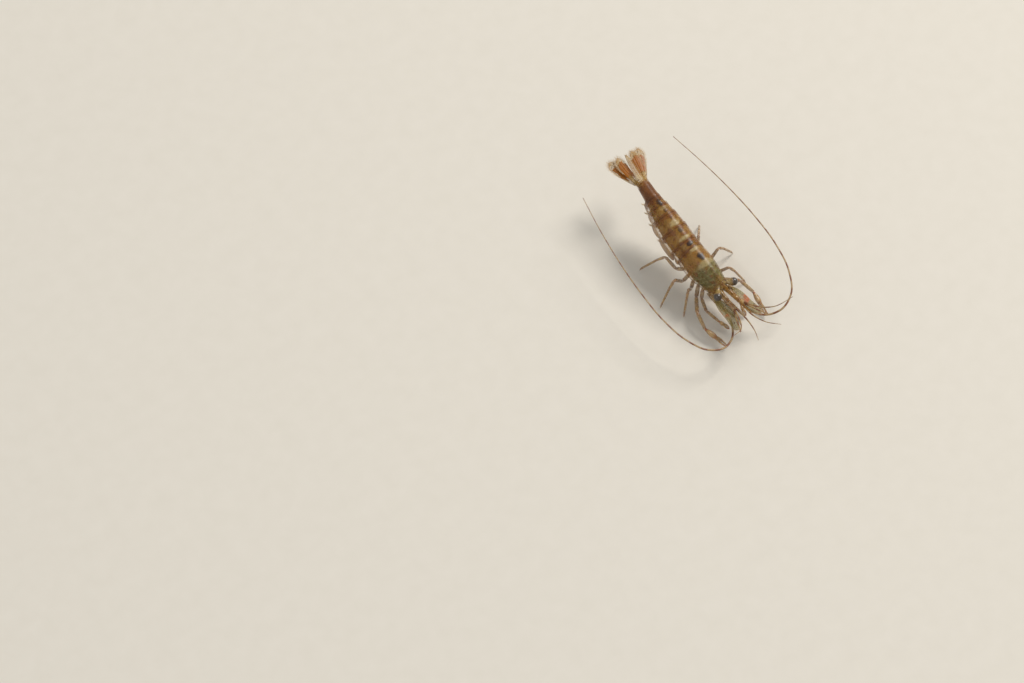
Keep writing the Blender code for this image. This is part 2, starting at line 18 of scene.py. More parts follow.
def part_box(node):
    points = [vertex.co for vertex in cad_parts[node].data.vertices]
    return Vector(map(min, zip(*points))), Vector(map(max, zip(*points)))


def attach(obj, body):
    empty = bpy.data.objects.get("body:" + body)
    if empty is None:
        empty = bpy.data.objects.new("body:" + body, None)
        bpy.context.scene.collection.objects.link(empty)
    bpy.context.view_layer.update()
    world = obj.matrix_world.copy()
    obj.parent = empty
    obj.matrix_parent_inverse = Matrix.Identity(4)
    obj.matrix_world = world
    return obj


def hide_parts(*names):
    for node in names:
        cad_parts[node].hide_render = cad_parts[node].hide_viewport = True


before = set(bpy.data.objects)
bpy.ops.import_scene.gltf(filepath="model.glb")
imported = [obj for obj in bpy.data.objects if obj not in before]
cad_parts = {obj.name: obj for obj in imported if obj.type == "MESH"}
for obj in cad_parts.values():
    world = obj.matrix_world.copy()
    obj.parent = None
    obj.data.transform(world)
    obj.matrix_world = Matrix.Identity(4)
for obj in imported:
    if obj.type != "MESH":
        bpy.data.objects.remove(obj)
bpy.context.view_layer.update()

print("solids:", len(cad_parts))

# %% [markdown]
# ## Curves that describe a soft shape
# Almost every outline here is a handful of sizes at named places, joined smoothly: how wide the body
# is, how high its back stands, how a tail blade bows. A cubic through the knots does that, and it is
# held level past its ends.

# %% Smooth curves, steps and bells
MM = 0.001
UP = Vector((0, 0, 1))


def curve(*knots):
    """A smooth function through (place, size) knots."""
    places, sizes = zip(*knots)
    slopes = np.gradient(sizes, places).tolist()

    def at(place):
        if not places[0] < place < places[-1]:
            return sizes[0] if place <= places[0] else sizes[-1]
        i = next(i for i, end in enumerate(places[1:]) if place < end)
        span = places[i + 1] - places[i]
        t = (place - places[i]) / span
        start = sizes[i] * (1 + 2 * t) + span * slopes[i] * t
        end = sizes[i + 1] * (3 - 2 * t) - span * slopes[i + 1] * (1 - t)
        return start * (1 - t) ** 2 + end * t**2

    return at


def ease(value, low, high):
    """0 below low, 1 above high, and a smooth step between."""
    t = min(max((value - low) / (high - low), 0), 1)
    return t * t * (3 - 2 * t)


def bell(value, middle, width):
    """1 at middle, falling away within width."""
    return math.exp(-(((value - middle) / width) ** 2))


# %% [markdown]
# ## The bent midline
# The animal is drawn as if its body were straight: `place` runs back from the eye sockets, `across`
# to its left and `up` to its back. The midline then climbs towards the tail and bends a little, and
# `body` puts any such point into the pose. Drawing straight and posing last keeps every shell ring
# simple, and the colour patterns can be drawn in the straight body too.

# %% The midline of the body
SOCKET = (0, 0, 8.6)  # the middle between the eye sockets
SOMITE_ENDS = (10.8, 13.1, 17.0, 20.8, 23.4, 25.8, 30.6)
CLIMBS = ((10, 8), (12, 11), (15, 15), (19, 17), (22, 15), (24.6, 13), (28.2, 11), (31.6, 9))
TURNS = ((-9, -6), (0, -4), (10, -2), (19, 1), (24, 3), (28, 4), (31.6, 6))  # to the left, degrees
SIDES = {"left": 1, "right": -1}


def axes(place):
    """Turns (back, left, up) with the body at that place."""
    climb, turn = (math.radians(float(np.interp(place, *zip(*knots)))) for knots in (CLIMBS, TURNS))
    along = Vector((math.sin(turn) * math.cos(climb), math.cos(turn) * math.cos(climb), math.sin(climb)))
    left = Vector((math.cos(turn), -math.sin(turn), 0))
    return Matrix((along, left, left.cross(along))).transposed()


TRACK, PACE = np.linspace(0, 40, 401, retstep=True)
STEPS = np.array([axes(place).col[0] for place in TRACK[:-1] + PACE / 2]) * PACE
MIDLINE = np.concatenate([[SOCKET], SOCKET + np.cumsum(STEPS, axis=0)])


def body(place, across, up):
    """The point of the posed animal at these body coordinates."""
    centre = Vector([float(np.interp(place, TRACK, MIDLINE[:, i])) for i in range(3)])
    return centre + axes(place) @ Vector((min(place, 0), across, up))


def body_run(sign, stops):
    """The posed points of a run of stops, on the side of the body that sign gives."""
    return [body(place, sign * across, up) for place, across, up in stops]


def body_way(place):
    """A function that turns a direction with the body at that place."""
    turn = axes(place)
    return lambda *direction: turn @ Vector(direction)


# %% [markdown]
# The solids have been moved so that the animal stands in the middle of its own footprint. The feet
# tell by how much: each walking leg ends in a flat on the floor, and the middle of that flat is
# measured on the solid.

# %% Where the feet stand
FIRST_FOOT = Vector((8.7, 1.4, 0))  # the left foot of the third pair, before the animal was centred


def foot_of(number, side):
    """The middle of a walking leg's flat, in millimetres."""
    points = [v.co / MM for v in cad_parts[f"pereopod_{number}_{side}"].data.vertices]
    flat = np.array([p for p in points if p.z < 0.01])
    return Vector((flat.min(axis=0) + flat.max(axis=0)) / 2)


SHIFT = foot_of(3, "left") - FIRST_FOOT
FEET = {(n, side): foot_of(n, side) - SHIFT for n in (3, 4, 5) for side in SIDES}
print("shift to the frame, mm:", [round(x, 3) for x in SHIFT])

# %% [markdown]
# ## Tools for thin plates and round limbs
# Shell is thin, so a shell piece starts as a grid, is extruded into a second layer, and both layers
# are laid on a formula: one for the outside, one for the inside. A limb starts as one ring and is
# drawn out ring by ring. Each point also gets a `mark`, its place in the unbent animal, which the
# materials read to draw spots and bands where they belong, and a `rim`, which is 1 at the edge of a
# plate: a clear shell is seen mostly by its edges.

# %% Plates
RIM_WIDTH = 0.03  # share of a plate over which its rim fades


def new_bm():
    """An empty mesh under construction, with layers for what a point remembers."""
    bm = bmesh.new()
    bm.verts.layers.float_vector.new("mark")
    bm.verts.layers.float.new("rim")
    bm.verts.layers.int.new("number")
    return bm


def new_verts(geometry):
    """The vertices among what an operator made."""
    return [g for g in geometry if isinstance(g, bmesh.types.BMVert)]


def plate(bm, columns, rows, lay, layers=(1, -1)):
    """Lays a closed plate on lay(u, v, layer), which returns a point and its mark."""
    mark, rim = bm.verts.layers.float_vector["mark"], bm.verts.layers.float["rim"]
    outer = bmesh.ops.create_grid(bm, x_segments=columns, y_segments=rows, size=0.5)["verts"]
    faces = list(dict.fromkeys(f for v in outer for f in v.link_faces))
    inner = new_verts(bmesh.ops.extrude_face_region(bm, geom=faces, use_keep_orig=True)["geom"])
    for layer, verts in zip(layers, (outer, inner)):
        for v in verts:
            a, b = v.co.x + 0.5, v.co.y + 0.5
            v[rim] = bell(min(a, 1 - a, b, 1 - b), 0, RIM_WIDTH)
            v.co, v[mark] = lay(a, b, layer)


# %% Tubes
def tube(bm, rings):
    """Draws a closed body through rings of (point, mark), each ring pulled out of the last one."""
    mark, number = bm.verts.layers.float_vector["mark"], bm.verts.layers.int["number"]
    first = [bm.verts.new(point) for point, _ in rings[0]]
    for i, v in enumerate(first):
        v[number], v[mark] = i, rings[0][i][1]
    edges = [bm.edges.new(pair) for pair in zip(first, first[1:] + first[:1])]
    bmesh.ops.contextual_create(bm, geom=edges)
    for ring in rings[1:]:
        grown = bmesh.ops.extrude_edge_only(bm, edges=edges)["geom"]
        edges = [g for g in grown if isinstance(g, bmesh.types.BMEdge)]
        for v in {v for e in edges for v in e.verts}:
            v.co, v[mark] = ring[v[number]]
    bmesh.ops.contextual_create(bm, geom=edges)


def rope(bm, stops, guide, sides, flat=1.0):
    """A round tube through stops of (centre, way, radius, mark), squeezed by flat across the guide."""
    rings, turns = [], [math.tau * i / sides for i in range(sides)]
    for centre, way, radius, mark in stops:
        way = way.normalized()
        guide = (guide - way * guide.dot(way)).normalized()
        across = way.cross(guide) * flat
        circle = [centre + (guide * math.cos(t) + across * math.sin(t)) * radius for t in turns]
        rings.append([(point, Vector(mark)) for point in circle])
    tube(bm, rings)


def smooth_path(knots, count):
    """count points on a smooth curve through knots, each as (share of the way, point, direction)."""
    spans = [(b - a).length for a, b in zip(knots, knots[1:])]
    reached = [sum(spans[:i]) for i in range(len(knots))]
    lines = [curve(*zip(reached, values)) for values in zip(*knots)]
    points = [Vector([line(t) for line in lines]) for t in np.linspace(0, reached[-1], count)]
    last = count - 1
    return [(i / last, p, points[min(i + 1, last)] - points[max(i - 1, 0)]) for i, p in enumerate(points)]


# %% [markdown]
# A finished piece turns its faces outward, moves to the frame, becomes metres, takes its finish, and
# hides the solids it stands for. Its object stays at the origin with its place in its mesh.

# %% Finishing a piece
PIECES = {}
SMOOTH_ANGLE = math.radians(50)  # an edge sharper than this keeps its crease


def link(name, data):
    """A new object in the scene."""
    made = bpy.data.objects.new(name, data)
    bpy.context.scene.collection.objects.link(made)
    return made


def mesh_of(name, bm, material):
    """The mesh that a bmesh has become."""
    mesh = bpy.data.meshes.new(name)
    bm.to_mesh(mesh)
    bm.free()
    mesh.materials.append(material)
    return mesh


def finish_piece(name, bm, material, slot, *replaces):
    """Makes the object of a finished mesh, in metres, riding on the frame."""
    bmesh.ops.recalc_face_normals(bm, faces=bm.faces)
    bmesh.ops.translate(bm, verts=bm.verts, vec=SHIFT)
    bmesh.ops.scale(bm, verts=bm.verts, vec=(MM, MM, MM))
    mesh = mesh_of(name, bm, material)
    mesh.shade_smooth()
    mesh.set_sharp_from_angle(angle=SMOOTH_ANGLE)
    piece = link(name, mesh)
    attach(piece, "root")
    for node in replaces:
        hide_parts(node)
    PIECES[name] = sum(len(f.vertices) - 2 for f in mesh.polygons)


def tell(start):
    """Prints the triangles of the pieces whose names start like that."""
    print("triangles:", {name: count for name, count in PIECES.items() if name.startswith(start)})


# %% [markdown]
# ## Mixing finishes
# A glass prawn has no coat of paint. Its shell is clear horn with small stars of pigment in it, over
# cloudy amber muscle. So each finish below is one Principled shader whose colour and alpha come from
# patterns: alpha is low in clear shell and high in a pigment spot. The patterns read either Object
# coordinates, for flecks and clouds, or the mark, for anything that has its place on the animal.
# Reckoning with a `Pattern` adds the nodes, so that a finish reads like a recipe: `*` lets one
# pattern hold back another, and `|` takes the stronger of two.

# %% Patterns
class Pattern:
    """A number or a colour that nodes work out at each point of a surface."""

    def __init__(self, finish, socket):
        self.finish, self.socket = finish, socket

    def math(self, operation, *others):
        """This number worked on by a Math node."""
        return self.finish.add("ShaderNodeMath", self, *others, operation=operation)[0]

    # The signs + - * / and | each stand for one operation of that node
    __add__, __sub__, __mul__, __truediv__, __or__ = (
        lambda self, other, operation=operation: self.math(operation, other)
        for operation in ("ADD", "SUBTRACT", "MULTIPLY", "DIVIDE", "MAXIMUM")
    )
    __ror__ = __or__

    def __rsub__(self, other):
        return self.math("MULTIPLY_ADD", -1.0, other)

    def __abs__(self):
        return self.math("ABSOLUTE")

    def is_near(self, value, reach):
        """1 within reach of value, 0 elsewhere."""
        return self.math("COMPARE", value, reach)

    def wave(self, rate):
        """A sine wave that turns by rate, in radians, for each unit."""
        return (self * rate).math("SINE")

    def step(self, low, high, start=0.0, end=1.0):
        """start below low, end above high, and smooth between."""
        smooth = {"interpolation_type": "SMOOTHSTEP"}
        return self.finish.add("ShaderNodeMapRange", self, low, high, start, end, **smooth)[0]

    def fall(self, low, high):
        """1 below low, 0 above high."""
        return self.step(low, high, 1.0, 0.0)

    def band(self, low, high, soft):
        """1 between low and high, 0 outside."""
        return self.step(low - soft, low + soft) * self.fall(high - soft, high + soft)


# %% A bench for mixing finishes
def tone(red, green, blue):
    """A colour given in screen values from 0 to 255, as the shader wants it."""
    shares = (red / 255, green / 255, blue / 255)
    return (*(c / 12.92 if c < 0.0405 else ((c + 0.055) / 1.055) ** 2.4 for c in shares), 1)


class Finish:
    """One material being mixed. Its methods add nodes and give patterns."""

    def __init__(self, name, **fixed):
        self.material = bpy.data.materials.new(name)
        self.material.use_nodes = True
        self.tree = self.material.node_tree
        self.shader = self.tree.nodes["Principled BSDF"].inputs
        for socket, value in fixed.items():
            self.shader[socket.replace("_", " ")].default_value = value
        self.here = self.add("ShaderNodeTexCoord")[3]  # Object coordinates

    def add(self, kind, *wires, **settings):
        """A node, with its settings and its inputs in order. Gives a pattern for each output."""
        node = self.tree.nodes.new(kind)
        for key, value in settings.items():
            setattr(node, key, value)
        for socket, wire in zip(node.inputs, wires):
            self.feed(socket, wire)
        return [Pattern(self, socket) for socket in node.outputs]

    def feed(self, socket, wire):
        """Links a pattern to a socket, or sets a value on it."""
        if isinstance(wire, Pattern):
            self.tree.links.new(wire.socket, socket)
        elif wire is not None:
            socket.default_value = wire

    def marks(self):
        """The three numbers of the mark."""
        return self.add("ShaderNodeSeparateXYZ", self.add("ShaderNodeAttribute", attribute_name="mark")[1])

    def rim(self):
        """How near a point of a plate is to its edge, from 0 to 1."""
        return self.add("ShaderNodeAttribute", attribute_name="rim")[2]

    def clouds(self, size, detail=3.0):
        """Clouds of about that size in millimetres, as a number and as a colour."""
        return self.add("ShaderNodeTexNoise", self.here, None, 1 / (size * MM), detail)[:2]

    def noise(self, size, detail=3.0):
        """Clouds of about that size in millimetres."""
        return self.clouds(size, detail)[0]

    def cells(self, size, where=None):
        """Cells of that size in millimetres: how far from the middle of one, and a colour for each."""
        return self.add("ShaderNodeTexVoronoi", where or self.here, None, 1 / (size * MM))[:2]

    def flecks(self, spacing, small, large, gate=1.0):
        """Round flecks with ragged rims; the gate, from 0 to 1, says how thick they lie."""
        torn, reach = self.clouds(spacing / 4, 2.0)[1], 0.35 * spacing * MM
        shake = self.add("ShaderNodeVectorMath", torn, None, None, reach, operation="SCALE")[0]
        distance, colour = self.cells(spacing, self.add("ShaderNodeVectorMath", self.here, shake)[0])
        size = self.add("ShaderNodeSeparateColor", colour)[0].step(0.2, 1.0, small, large)
        return (size * gate - distance).step(0.0, 0.08)

    def mix(self, share, *colours):
        """A colour between two, each a pattern or three screen values."""
        first, second = (c if isinstance(c, Pattern) else tone(*c) for c in colours)
        return self.add("ShaderNodeMix", share, *[None] * 5, first, second, data_type="RGBA")[2]

    def paint(self, colour, *layers):
        """Lays (cover, colour) layers over a colour, one after the other."""
        for cover, layer in layers:
            colour = self.mix(cover, colour, layer)
        return colour

    def bump(self, height, depth, strength):
        """Small relief, depth in millimetres."""
        node = self.tree.nodes.new("ShaderNodeBump")
        for name, wire in (("Strength", strength), ("Distance", depth * MM), ("Height", height)):
            self.feed(node.inputs[name], wire)
        self.tree.links.new(node.outputs[0], self.shader["Normal"])

    def done(self, colour, alpha=None, roughness=None):
        """Wires the patterns to the shader and gives the material."""
        for name, wire in (("Base Color", colour), ("Alpha", alpha), ("Roughness", roughness)):
            self.feed(self.shader[name], wire)
        return self.material


BROWN, ORANGE = (74, 42, 22), (178, 88, 38)

# %% [markdown]
# ## The room
# A plain pale floor, one large soft lamp high on the right behind the animal, which throws its shadow
# to the left and towards us, and a weak broad lamp in front to open the shade. The camera looks down
# at the animal from its right front, from almost a metre away, and holds it above and to the right of
# the middle of the picture.

# %% Floor, lamps and camera
PICTURE_SPAN = 0.23  # width of the picture at the animal, m
LENS, SENSOR = 150.0, 36.0
AZIMUTH, ELEVATION = math.radians(-36), math.radians(60)
EYES_RIGHT, EYES_UP = 0.209, 0.0512  # where the eyes stand off the middle, as shares of the span
FLOOR_HALF = 3.0


def middle_of(*nodes):
    """The middle of the boxes of these nodes, in metres."""
    corners = [Vector(corner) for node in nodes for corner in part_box(node)]
    return sum(corners, Vector()) / len(corners)


def lamp(name, target, towards, distance, size, watts, colour):
    """A square soft lamp that shines on target from the direction towards."""
    light = bpy.data.lights.new(name, "AREA")
    light.size, light.energy, light.color = size, watts, colour
    holder = link(name, light)
    holder.location = target + towards.normalized() * distance
    holder.rotation_euler = towards.to_track_quat("Z", "Y").to_euler()


def set_room():
    """Builds the floor, the lamps, the sky and the camera, and says where the eyes are."""
    floor_bm = bmesh.new()
    bmesh.ops.create_grid(floor_bm, x_segments=1, y_segments=1, size=FLOOR_HALF)
    paper = Finish("floor_paper", Roughness=0.9)
    paper.done(paper.mix(paper.noise(4.0, 4.0), (214, 208, 196), (220, 214, 203)))
    link("floor", mesh_of("floor", floor_bm, paper.material))

    right = Vector((math.cos(AZIMUTH), math.sin(AZIMUTH), 0))
    away = UP.cross(right)
    back = UP * math.sin(ELEVATION) - away * math.cos(ELEVATION)
    up = back.cross(right)
    target = middle_of("carapace", "abdomen_3")
    lamp("key", target, right * 0.67 + away * 0.6 + UP * 1.08, 1.6, 0.6, 20.0, (1.0, 0.975, 0.94))
    lamp("fill", target, UP - right * 0.8 - away * 0.9, 1.8, 1.2, 5.0, (0.94, 0.97, 1.0))
    sky = bpy.data.worlds.new("sky")
    sky.use_nodes = True
    for name, value in (("Color", (0.86, 0.86, 0.85, 1)), ("Strength", 0.52)):
        sky.node_tree.nodes["Background"].inputs[name].default_value = value
    scene = bpy.context.scene
    scene.world = sky
    scene.view_settings.view_transform = "Standard"
    scene.cycles.transparent_max_bounces = 40  # a look through the animal crosses many clear plates

    eyes = middle_of("eye_left", "eye_right")
    camera = bpy.data.cameras.new("camera")
    camera.lens, camera.sensor_width, camera.clip_start = LENS, SENSOR, 0.01
    holder = link("camera", camera)
    centre = eyes - (right * EYES_RIGHT + up * EYES_UP) * PICTURE_SPAN
    holder.matrix_world = Matrix((right, up, back)).transposed().to_4x4()
    holder.location = centre + back * (PICTURE_SPAN * LENS / SENSOR)
    scene.camera = holder
    return eyes


print("eyes at, m:", [round(x, 4) for x in set_room()])

# %% [markdown]
# ## The shape of the trunk
# One set of curves gives the width, the back, the widest level and the belly all along the body, and
# every ring of shell is cut from it. A section is a half ellipse over the back that runs down into
# flat side plates. `w` counts across the section: 0 on the back, -1 and 1 at the lower edges.

# %% Sections of the trunk
half_width = curve(
    (0, 1.9), (3.5, 2.8), (7, 3.25), (11, 3.15), (15, 3.3), (19, 3.05), (22.5, 2.5),
    (25.8, 1.85), (30.6, 1.5),
)
back_height = curve(
    (0, 2.2), (3.5, 3.2), (7, 3.7), (11, 3.65), (15, 3.75), (19, 3.6), (22.5, 2.9),
    (25.8, 2.05), (30.6, 1.35),
)
side_level = curve((0, -0.2), (11, -0.5), (21, -0.4), (30.6, 0.0))
belly = curve((10.8, -2.3), (17, -2.2), (23.4, -1.8), (25.8, -1.5), (30.6, -1.3))
shield_edge = curve((0, -1.5), (1.5, -2.6), (4, -3.3), (7.5, -3.7), (10.8, -3.4))
keel = curve(
    (-0.6, -1.9), (0.6, -3.4), (2, -4.5), (5, -4.95), (9, -4.9), (10.8, -4.1), (12, -2.4),
    (14, -2.1), (30.6, -1.1),
)
SHELL = 0.14  # thickness of the shell
SKIN_DEPTH = 0.31  # how far the flesh lies inside the shell


def arch(place, w, shoulder, tuck, tip, depth=0.0):
    """(across, up) on a trunk section at w, depth inside its outer skin. The roof ends at shoulder."""
    half, top, side = half_width(place) - depth, back_height(place) - depth, side_level(place)
    if abs(w) <= shoulder:
        turn = abs(w) / shoulder * math.pi / 2
        return math.copysign(half * math.sin(turn), w), side + (top - side) * math.cos(turn)
    fall = (abs(w) - shoulder) / (1 - shoulder)
    return math.copysign(half * (1 - tuck * fall**2), w), side + (tip - side) * fall


def posed(place, across, up, back=0.0):
    """The posed point of a place in the straight animal, and its mark; back slides the point alone."""
    return body(place + back, across, up), Vector((place, across, up))


# %% [markdown]
# ## Shell of the body: colour
# Close up, the shell of the back is clear amber with brown flecks, greyer and greener over the head.
# Each ring has a dark spot on the midline at its hind edge with a pale patch ahead of it, a mottled
# band and a fine dark line. The sixth ring is soaked in maroon, and the very end is clear again. All
# of it is drawn in marks, which on the trunk are place, across and up in millimetres.

# %% The shell finish
# Marks on the back: the place of each, half its length, half its width, and its strength
DARK_SPOTS = (
    (7.7, 0.95, 0.75, 1.0), (11.8, 0.6, 0.8, 0.95), (15.9, 0.7, 0.55, 0.8),
    (19.6, 0.4, 0.3, 0.5), (21.6, 0.4, 0.4, 0.6), (23.9, 0.8, 0.6, 0.9),
)
PALE_PATCHES = (
    (5.9, 0.8, 2.3, 0.75), (10.0, 0.55, 1.3, 0.8), (13.7, 0.6, 1.5, 0.8),
    (18.0, 0.8, 1.3, 0.8), (22.3, 0.35, 1.0, 0.5),
)


def oval(place, across, middle, length, width):
    """Squared reach from the middle of an oval: 0 in its middle and 1 on its rim."""
    along, wide = (place - middle) / length, across / width
    return along * along + wide * wide


def ovals(place, across, ragged, rows):
    """How strongly a point of the back lies in one of several ragged ovals."""
    found = 0.0
    for middle, length, width, strength in rows:
        found |= (oval(place, across, middle, length, width) + ragged).step(0.4, 1.6, strength, 0.0)
    return found


def mix_shell():
    """Clear amber shell with mottled hind margins, midline spots and the maroon end."""
    mix = Finish("shell", Coat_Weight=0.12, Coat_Roughness=0.2, Specular_IOR_Level=0.3)
    place, across, up = mix.marks()
    clouds, fine = mix.noise(2.2, 5.0), mix.noise(0.7)
    spots = ovals(place, across, mix.noise(0.9, 5.0) * 3 - 1.5, DARK_SPOTS) * up.step(0.2, 1.2)
    pale = ovals(place, across, fine * 2.4 - 1.2, PALE_PATCHES) * up.step(0.2, 1.2)

    margins = hinges = 0.0
    for end in SOMITE_ENDS[:6]:
        ahead = end - place
        hinges |= abs(ahead - 0.28).step(0.05, 0.22, 0.5, 0.0)
        margins |= ahead.fall(0.3, 1.7) * ahead.step(-0.4, 0.0)
    hinges *= up.step(-1.5, 0.5)
    mottle = (mix.noise(1.2, 4.0) + margins * 0.16 - 0.05).step(0.47, 0.60) * up.step(-4.0, 0.5, 0.5, 1.0)

    stained = place + mix.noise(1.6, 2.0) * 1.6 - 0.8
    maroon = stained.step(23.4, 25.4) * stained.fall(29.2, 30.2)
    green = (oval(place, up - 0.8, 3.5, 3.3, 4.3) + mix.noise(1.4, 4.0) * 1.8 - 0.9).fall(0.1, 1.3)
    side_plate = up.fall(-2.2, -0.4) * place.step(9.5, 10.8)

    high = up.step(-3.5, 1.5, 0.6, 1.0)
    large = mix.flecks(0.9, 0.06, 0.27, high * clouds.step(0.35, 0.65, 0.5, 1.2))
    small = mix.flecks(0.45, 0.10, 0.36, high)
    dust = mix.flecks(0.22, 0.05, 0.36, clouds.step(0.4, 0.6, 0.4, 1.0))
    flecks = large | small * 0.75 | dust * 0.5

    colour = mix.paint(
        mix.mix(clouds.step(0.3, 0.7), (154, 108, 42), (178, 132, 58)),
        (green * 0.75, mix.mix(fine, (92, 96, 54), (128, 128, 80))),
        (mottle * 0.8, mix.mix(fine, (104, 54, 20), (144, 82, 32))),
        (maroon * 0.92, mix.mix(clouds.step(0.35, 0.65), (98, 54, 26), (132, 80, 40))),
        (pale * 0.8, (204, 188, 138)),
        (mix.rim() * 0.5, (122, 80, 42)),
        (flecks * 0.8 | hinges, BROWN),
        (spots, mix.mix(fine, (34, 22, 18), (58, 46, 44))),
    )
    solid = (
        clouds.step(0.3, 0.7, 0.22, 0.36) | flecks * 0.85 | spots * 0.97 | pale * 0.6 | hinges
        | maroon * clouds.step(0.3, 0.7, 0.8, 0.6) | side_plate * clouds.step(0.3, 0.7, 0.62, 0.8)
        | mottle * 0.62 | green * 0.34 | place.fall(-0.6, 0.4) * 0.62 | mix.rim() * 0.62
    )
    mix.bump(mix.noise(0.35) + flecks * 0.3, 0.03, 0.6)
    return mix.done(colour, solid, fine.step(0.3, 0.7, 0.3, 0.42))


SHELL_FINISH = mix_shell()
print("nodes in the shell finish:", len(SHELL_FINISH.node_tree.nodes))

# %% [markdown]
# ## Flesh under the shell
# What gives a glass prawn its body is the cloudy muscle and the organs that show through. They are
# one continuous skin here, from the mouth to the last ring, lying inside the shell and coming into
# view below it as the keel that the legs grow from. The colour shows the green digestive gland in the
# chest, a dark gut line along the back of the abdomen, and the faint chevrons of the tail muscle.

# %% The flesh finish
def mix_flesh():
    """Cloudy amber muscle with the organs drawn on it."""
    mix = Finish(
        "flesh", Subsurface_Weight=0.25, Subsurface_Radius=(1.0, 0.6, 0.3), Subsurface_Scale=0.0006,
        Coat_Weight=0.2, Coat_Roughness=0.3,
    )
    place, across, up = mix.marks()
    aside = abs(across)
    clouds, fine = mix.noise(2.4, 4.0), mix.noise(0.8)
    lobes = mix.noise(1.3, 4.0) * 1.8 - 0.9
    gland = (oval(place, up - 0.8, 3.7, 3.3, 4.2) + lobes).fall(0.1, 1.2)
    swirl = (up * 0.55 + place + lobes).wave(4.4).step(0.1, 0.95) * fine.step(0.35, 0.6, 0.3, 1.0)
    stomach = (oval(place, across, 2.0, 1.1, 0.9) + clouds).fall(0.8, 1.6) * up.step(0.2, 1.2)
    gut = aside.fall(0.16, 0.42) * place.band(9.5, 29.8, 0.5) * up.step(0.6, 1.2)
    chevrons = (aside * 0.9 + fine * 0.25 + place).wave(math.tau / 1.3)
    gill_room = place.band(3.0, 10.4, 0.6) * up.band(-3.6, -0.2, 0.5)
    gills = (up * 0.35 + place).wave(math.tau / 0.6).step(-0.5, 0.8) * gill_room
    stained = (place + clouds * 3 - 1.5).step(23.6, 25.6) * place.fall(29.0, 30.0)
    bare = up.fall(-3.0, -2.0) | place.fall(0.3, 1.0)

    gland_colour = mix.mix(fine.step(0.35, 0.65), (70, 74, 36), (112, 112, 62))
    colour = mix.paint(
        mix.mix(clouds.step(0.3, 0.7), (138, 98, 42), (170, 128, 62)),
        (chevrons.step(-0.4, 0.9) * place.step(10.5, 12.0) * 0.5, (194, 158, 90)),
        (gill_room * 0.4, (122, 80, 38)),
        (gills * 0.55, (190, 158, 104)),
        (up.step(-4.6, -2.8, 0.5, 0.0), (190, 164, 112)),
        (gland * 0.95, mix.mix(swirl * 0.8, gland_colour, (184, 182, 132))),
        (stomach * 0.8, (44, 34, 20)),
        (gut * fine.step(0.35, 0.55, 0.45, 1.0) * 0.9, (58, 30, 16)),
        (stained * 0.85, (106, 52, 24)),
        ((mix.flecks(0.6, 0.06, 0.3) | mix.flecks(0.3, 0.08, 0.34)) * bare * 0.75, BROWN),
    )
    mix.bump(mix.noise(0.5) + gills * 0.8, 0.04, 0.6)
    return mix.done(colour, None, fine.step(0.3, 0.7, 0.35, 0.5))


FLESH_FINISH = mix_flesh()
print("nodes in the flesh finish:", len(FLESH_FINISH.node_tree.nodes))

# %% [markdown]
# The skin of the flesh is drawn out ring by ring. Its sections are ellipses above and squarer below,
# where the chest carries the legs, and a slight waist marks each joint of the tail.

# %% The flesh
FLESH_SIDES = 28
LEG_SPACING = 1.6  # the chest has a ridge at each pair of legs


def round_end(beyond, length, least):
    """Narrows a body towards its rounded end; beyond is how far past the start of the rounding."""
    return math.sqrt(max(least, 1 - max(0.0, beyond / length) ** 2))


def flesh_section(place):
    """A ring of the flesh at that place, as points with their marks."""
    joint = min(abs(place - end) for end in SOMITE_ENDS[:6])
    waist = 1 - 0.05 * bell(joint, 0, 0.35) * ease(place, 9, 11)
    ends = round_end(0.9 - place, 1.5, 0.06) * round_end(place - 29.6, 0.9, 0.08)
    gap = SKIN_DEPTH - 0.09 * ease(place, 22.5, 25)
    side = side_level(place)
    half = (half_width(place) - gap) * waist * ends
    roof = (back_height(place) - gap - side) * waist * ends
    floor = (side - keel(place)) * ends
    chest = ease(place, 0.5, 3.0) * (1 - ease(place, 10.5, 12.5))
    square = 2.0 + 0.9 * chest
    ridge_rise = 0.09 * chest * (1 - math.cos(math.tau * (place - 6.5) / LEG_SPACING))
    section = []
    for i in range(FLESH_SIDES):
        turn = math.tau * i / FLESH_SIDES
        across, up = half * math.sin(turn), side + roof * math.cos(turn)
        if math.cos(turn) < 0:
            depth = -math.cos(turn)
            narrow = (1 - depth**square) ** (1 / square) * (1 - 0.22 * depth * chest)
            across = math.copysign(half * narrow, across)
            up = side - floor * depth + ridge_rise * depth**6
        section.append(posed(place, across, up))
    return section


STATIONS = ((-0.5, 1.5, 12), (1.8, 29.4, 118), (29.6, 30.45, 8))  # from, to and how many
bm = new_bm()
tube(bm, [flesh_section(place) for run in STATIONS for place in np.linspace(*run).tolist()])
finish_piece("flesh", bm, FLESH_FINISH, "underside", "thorax")
tell("flesh")

# %% [markdown]
# ## Head shield and rostrum
# The carapace is one saddle of shell over head and chest, notched in front for each eye, with a small
# spine below the notch. Fine grooves mark where the gill chamber and the stomach lie, and its rim is a
# little thicker. The rostrum is a blade with a saw of forward teeth on top and a few below. Both are
# laid on formulas: a boolean of boxes would never give so thin and smooth a shell.

# %% The head shield
front_line = curve((0, 0.0), (0.3, 0.55), (0.5, 0.0), (0.7, 0.35), (1, 1.6))
rear_line = curve((0, 11.0), (0.5, 11.0), (0.8, 11.0), (1, 10.3))


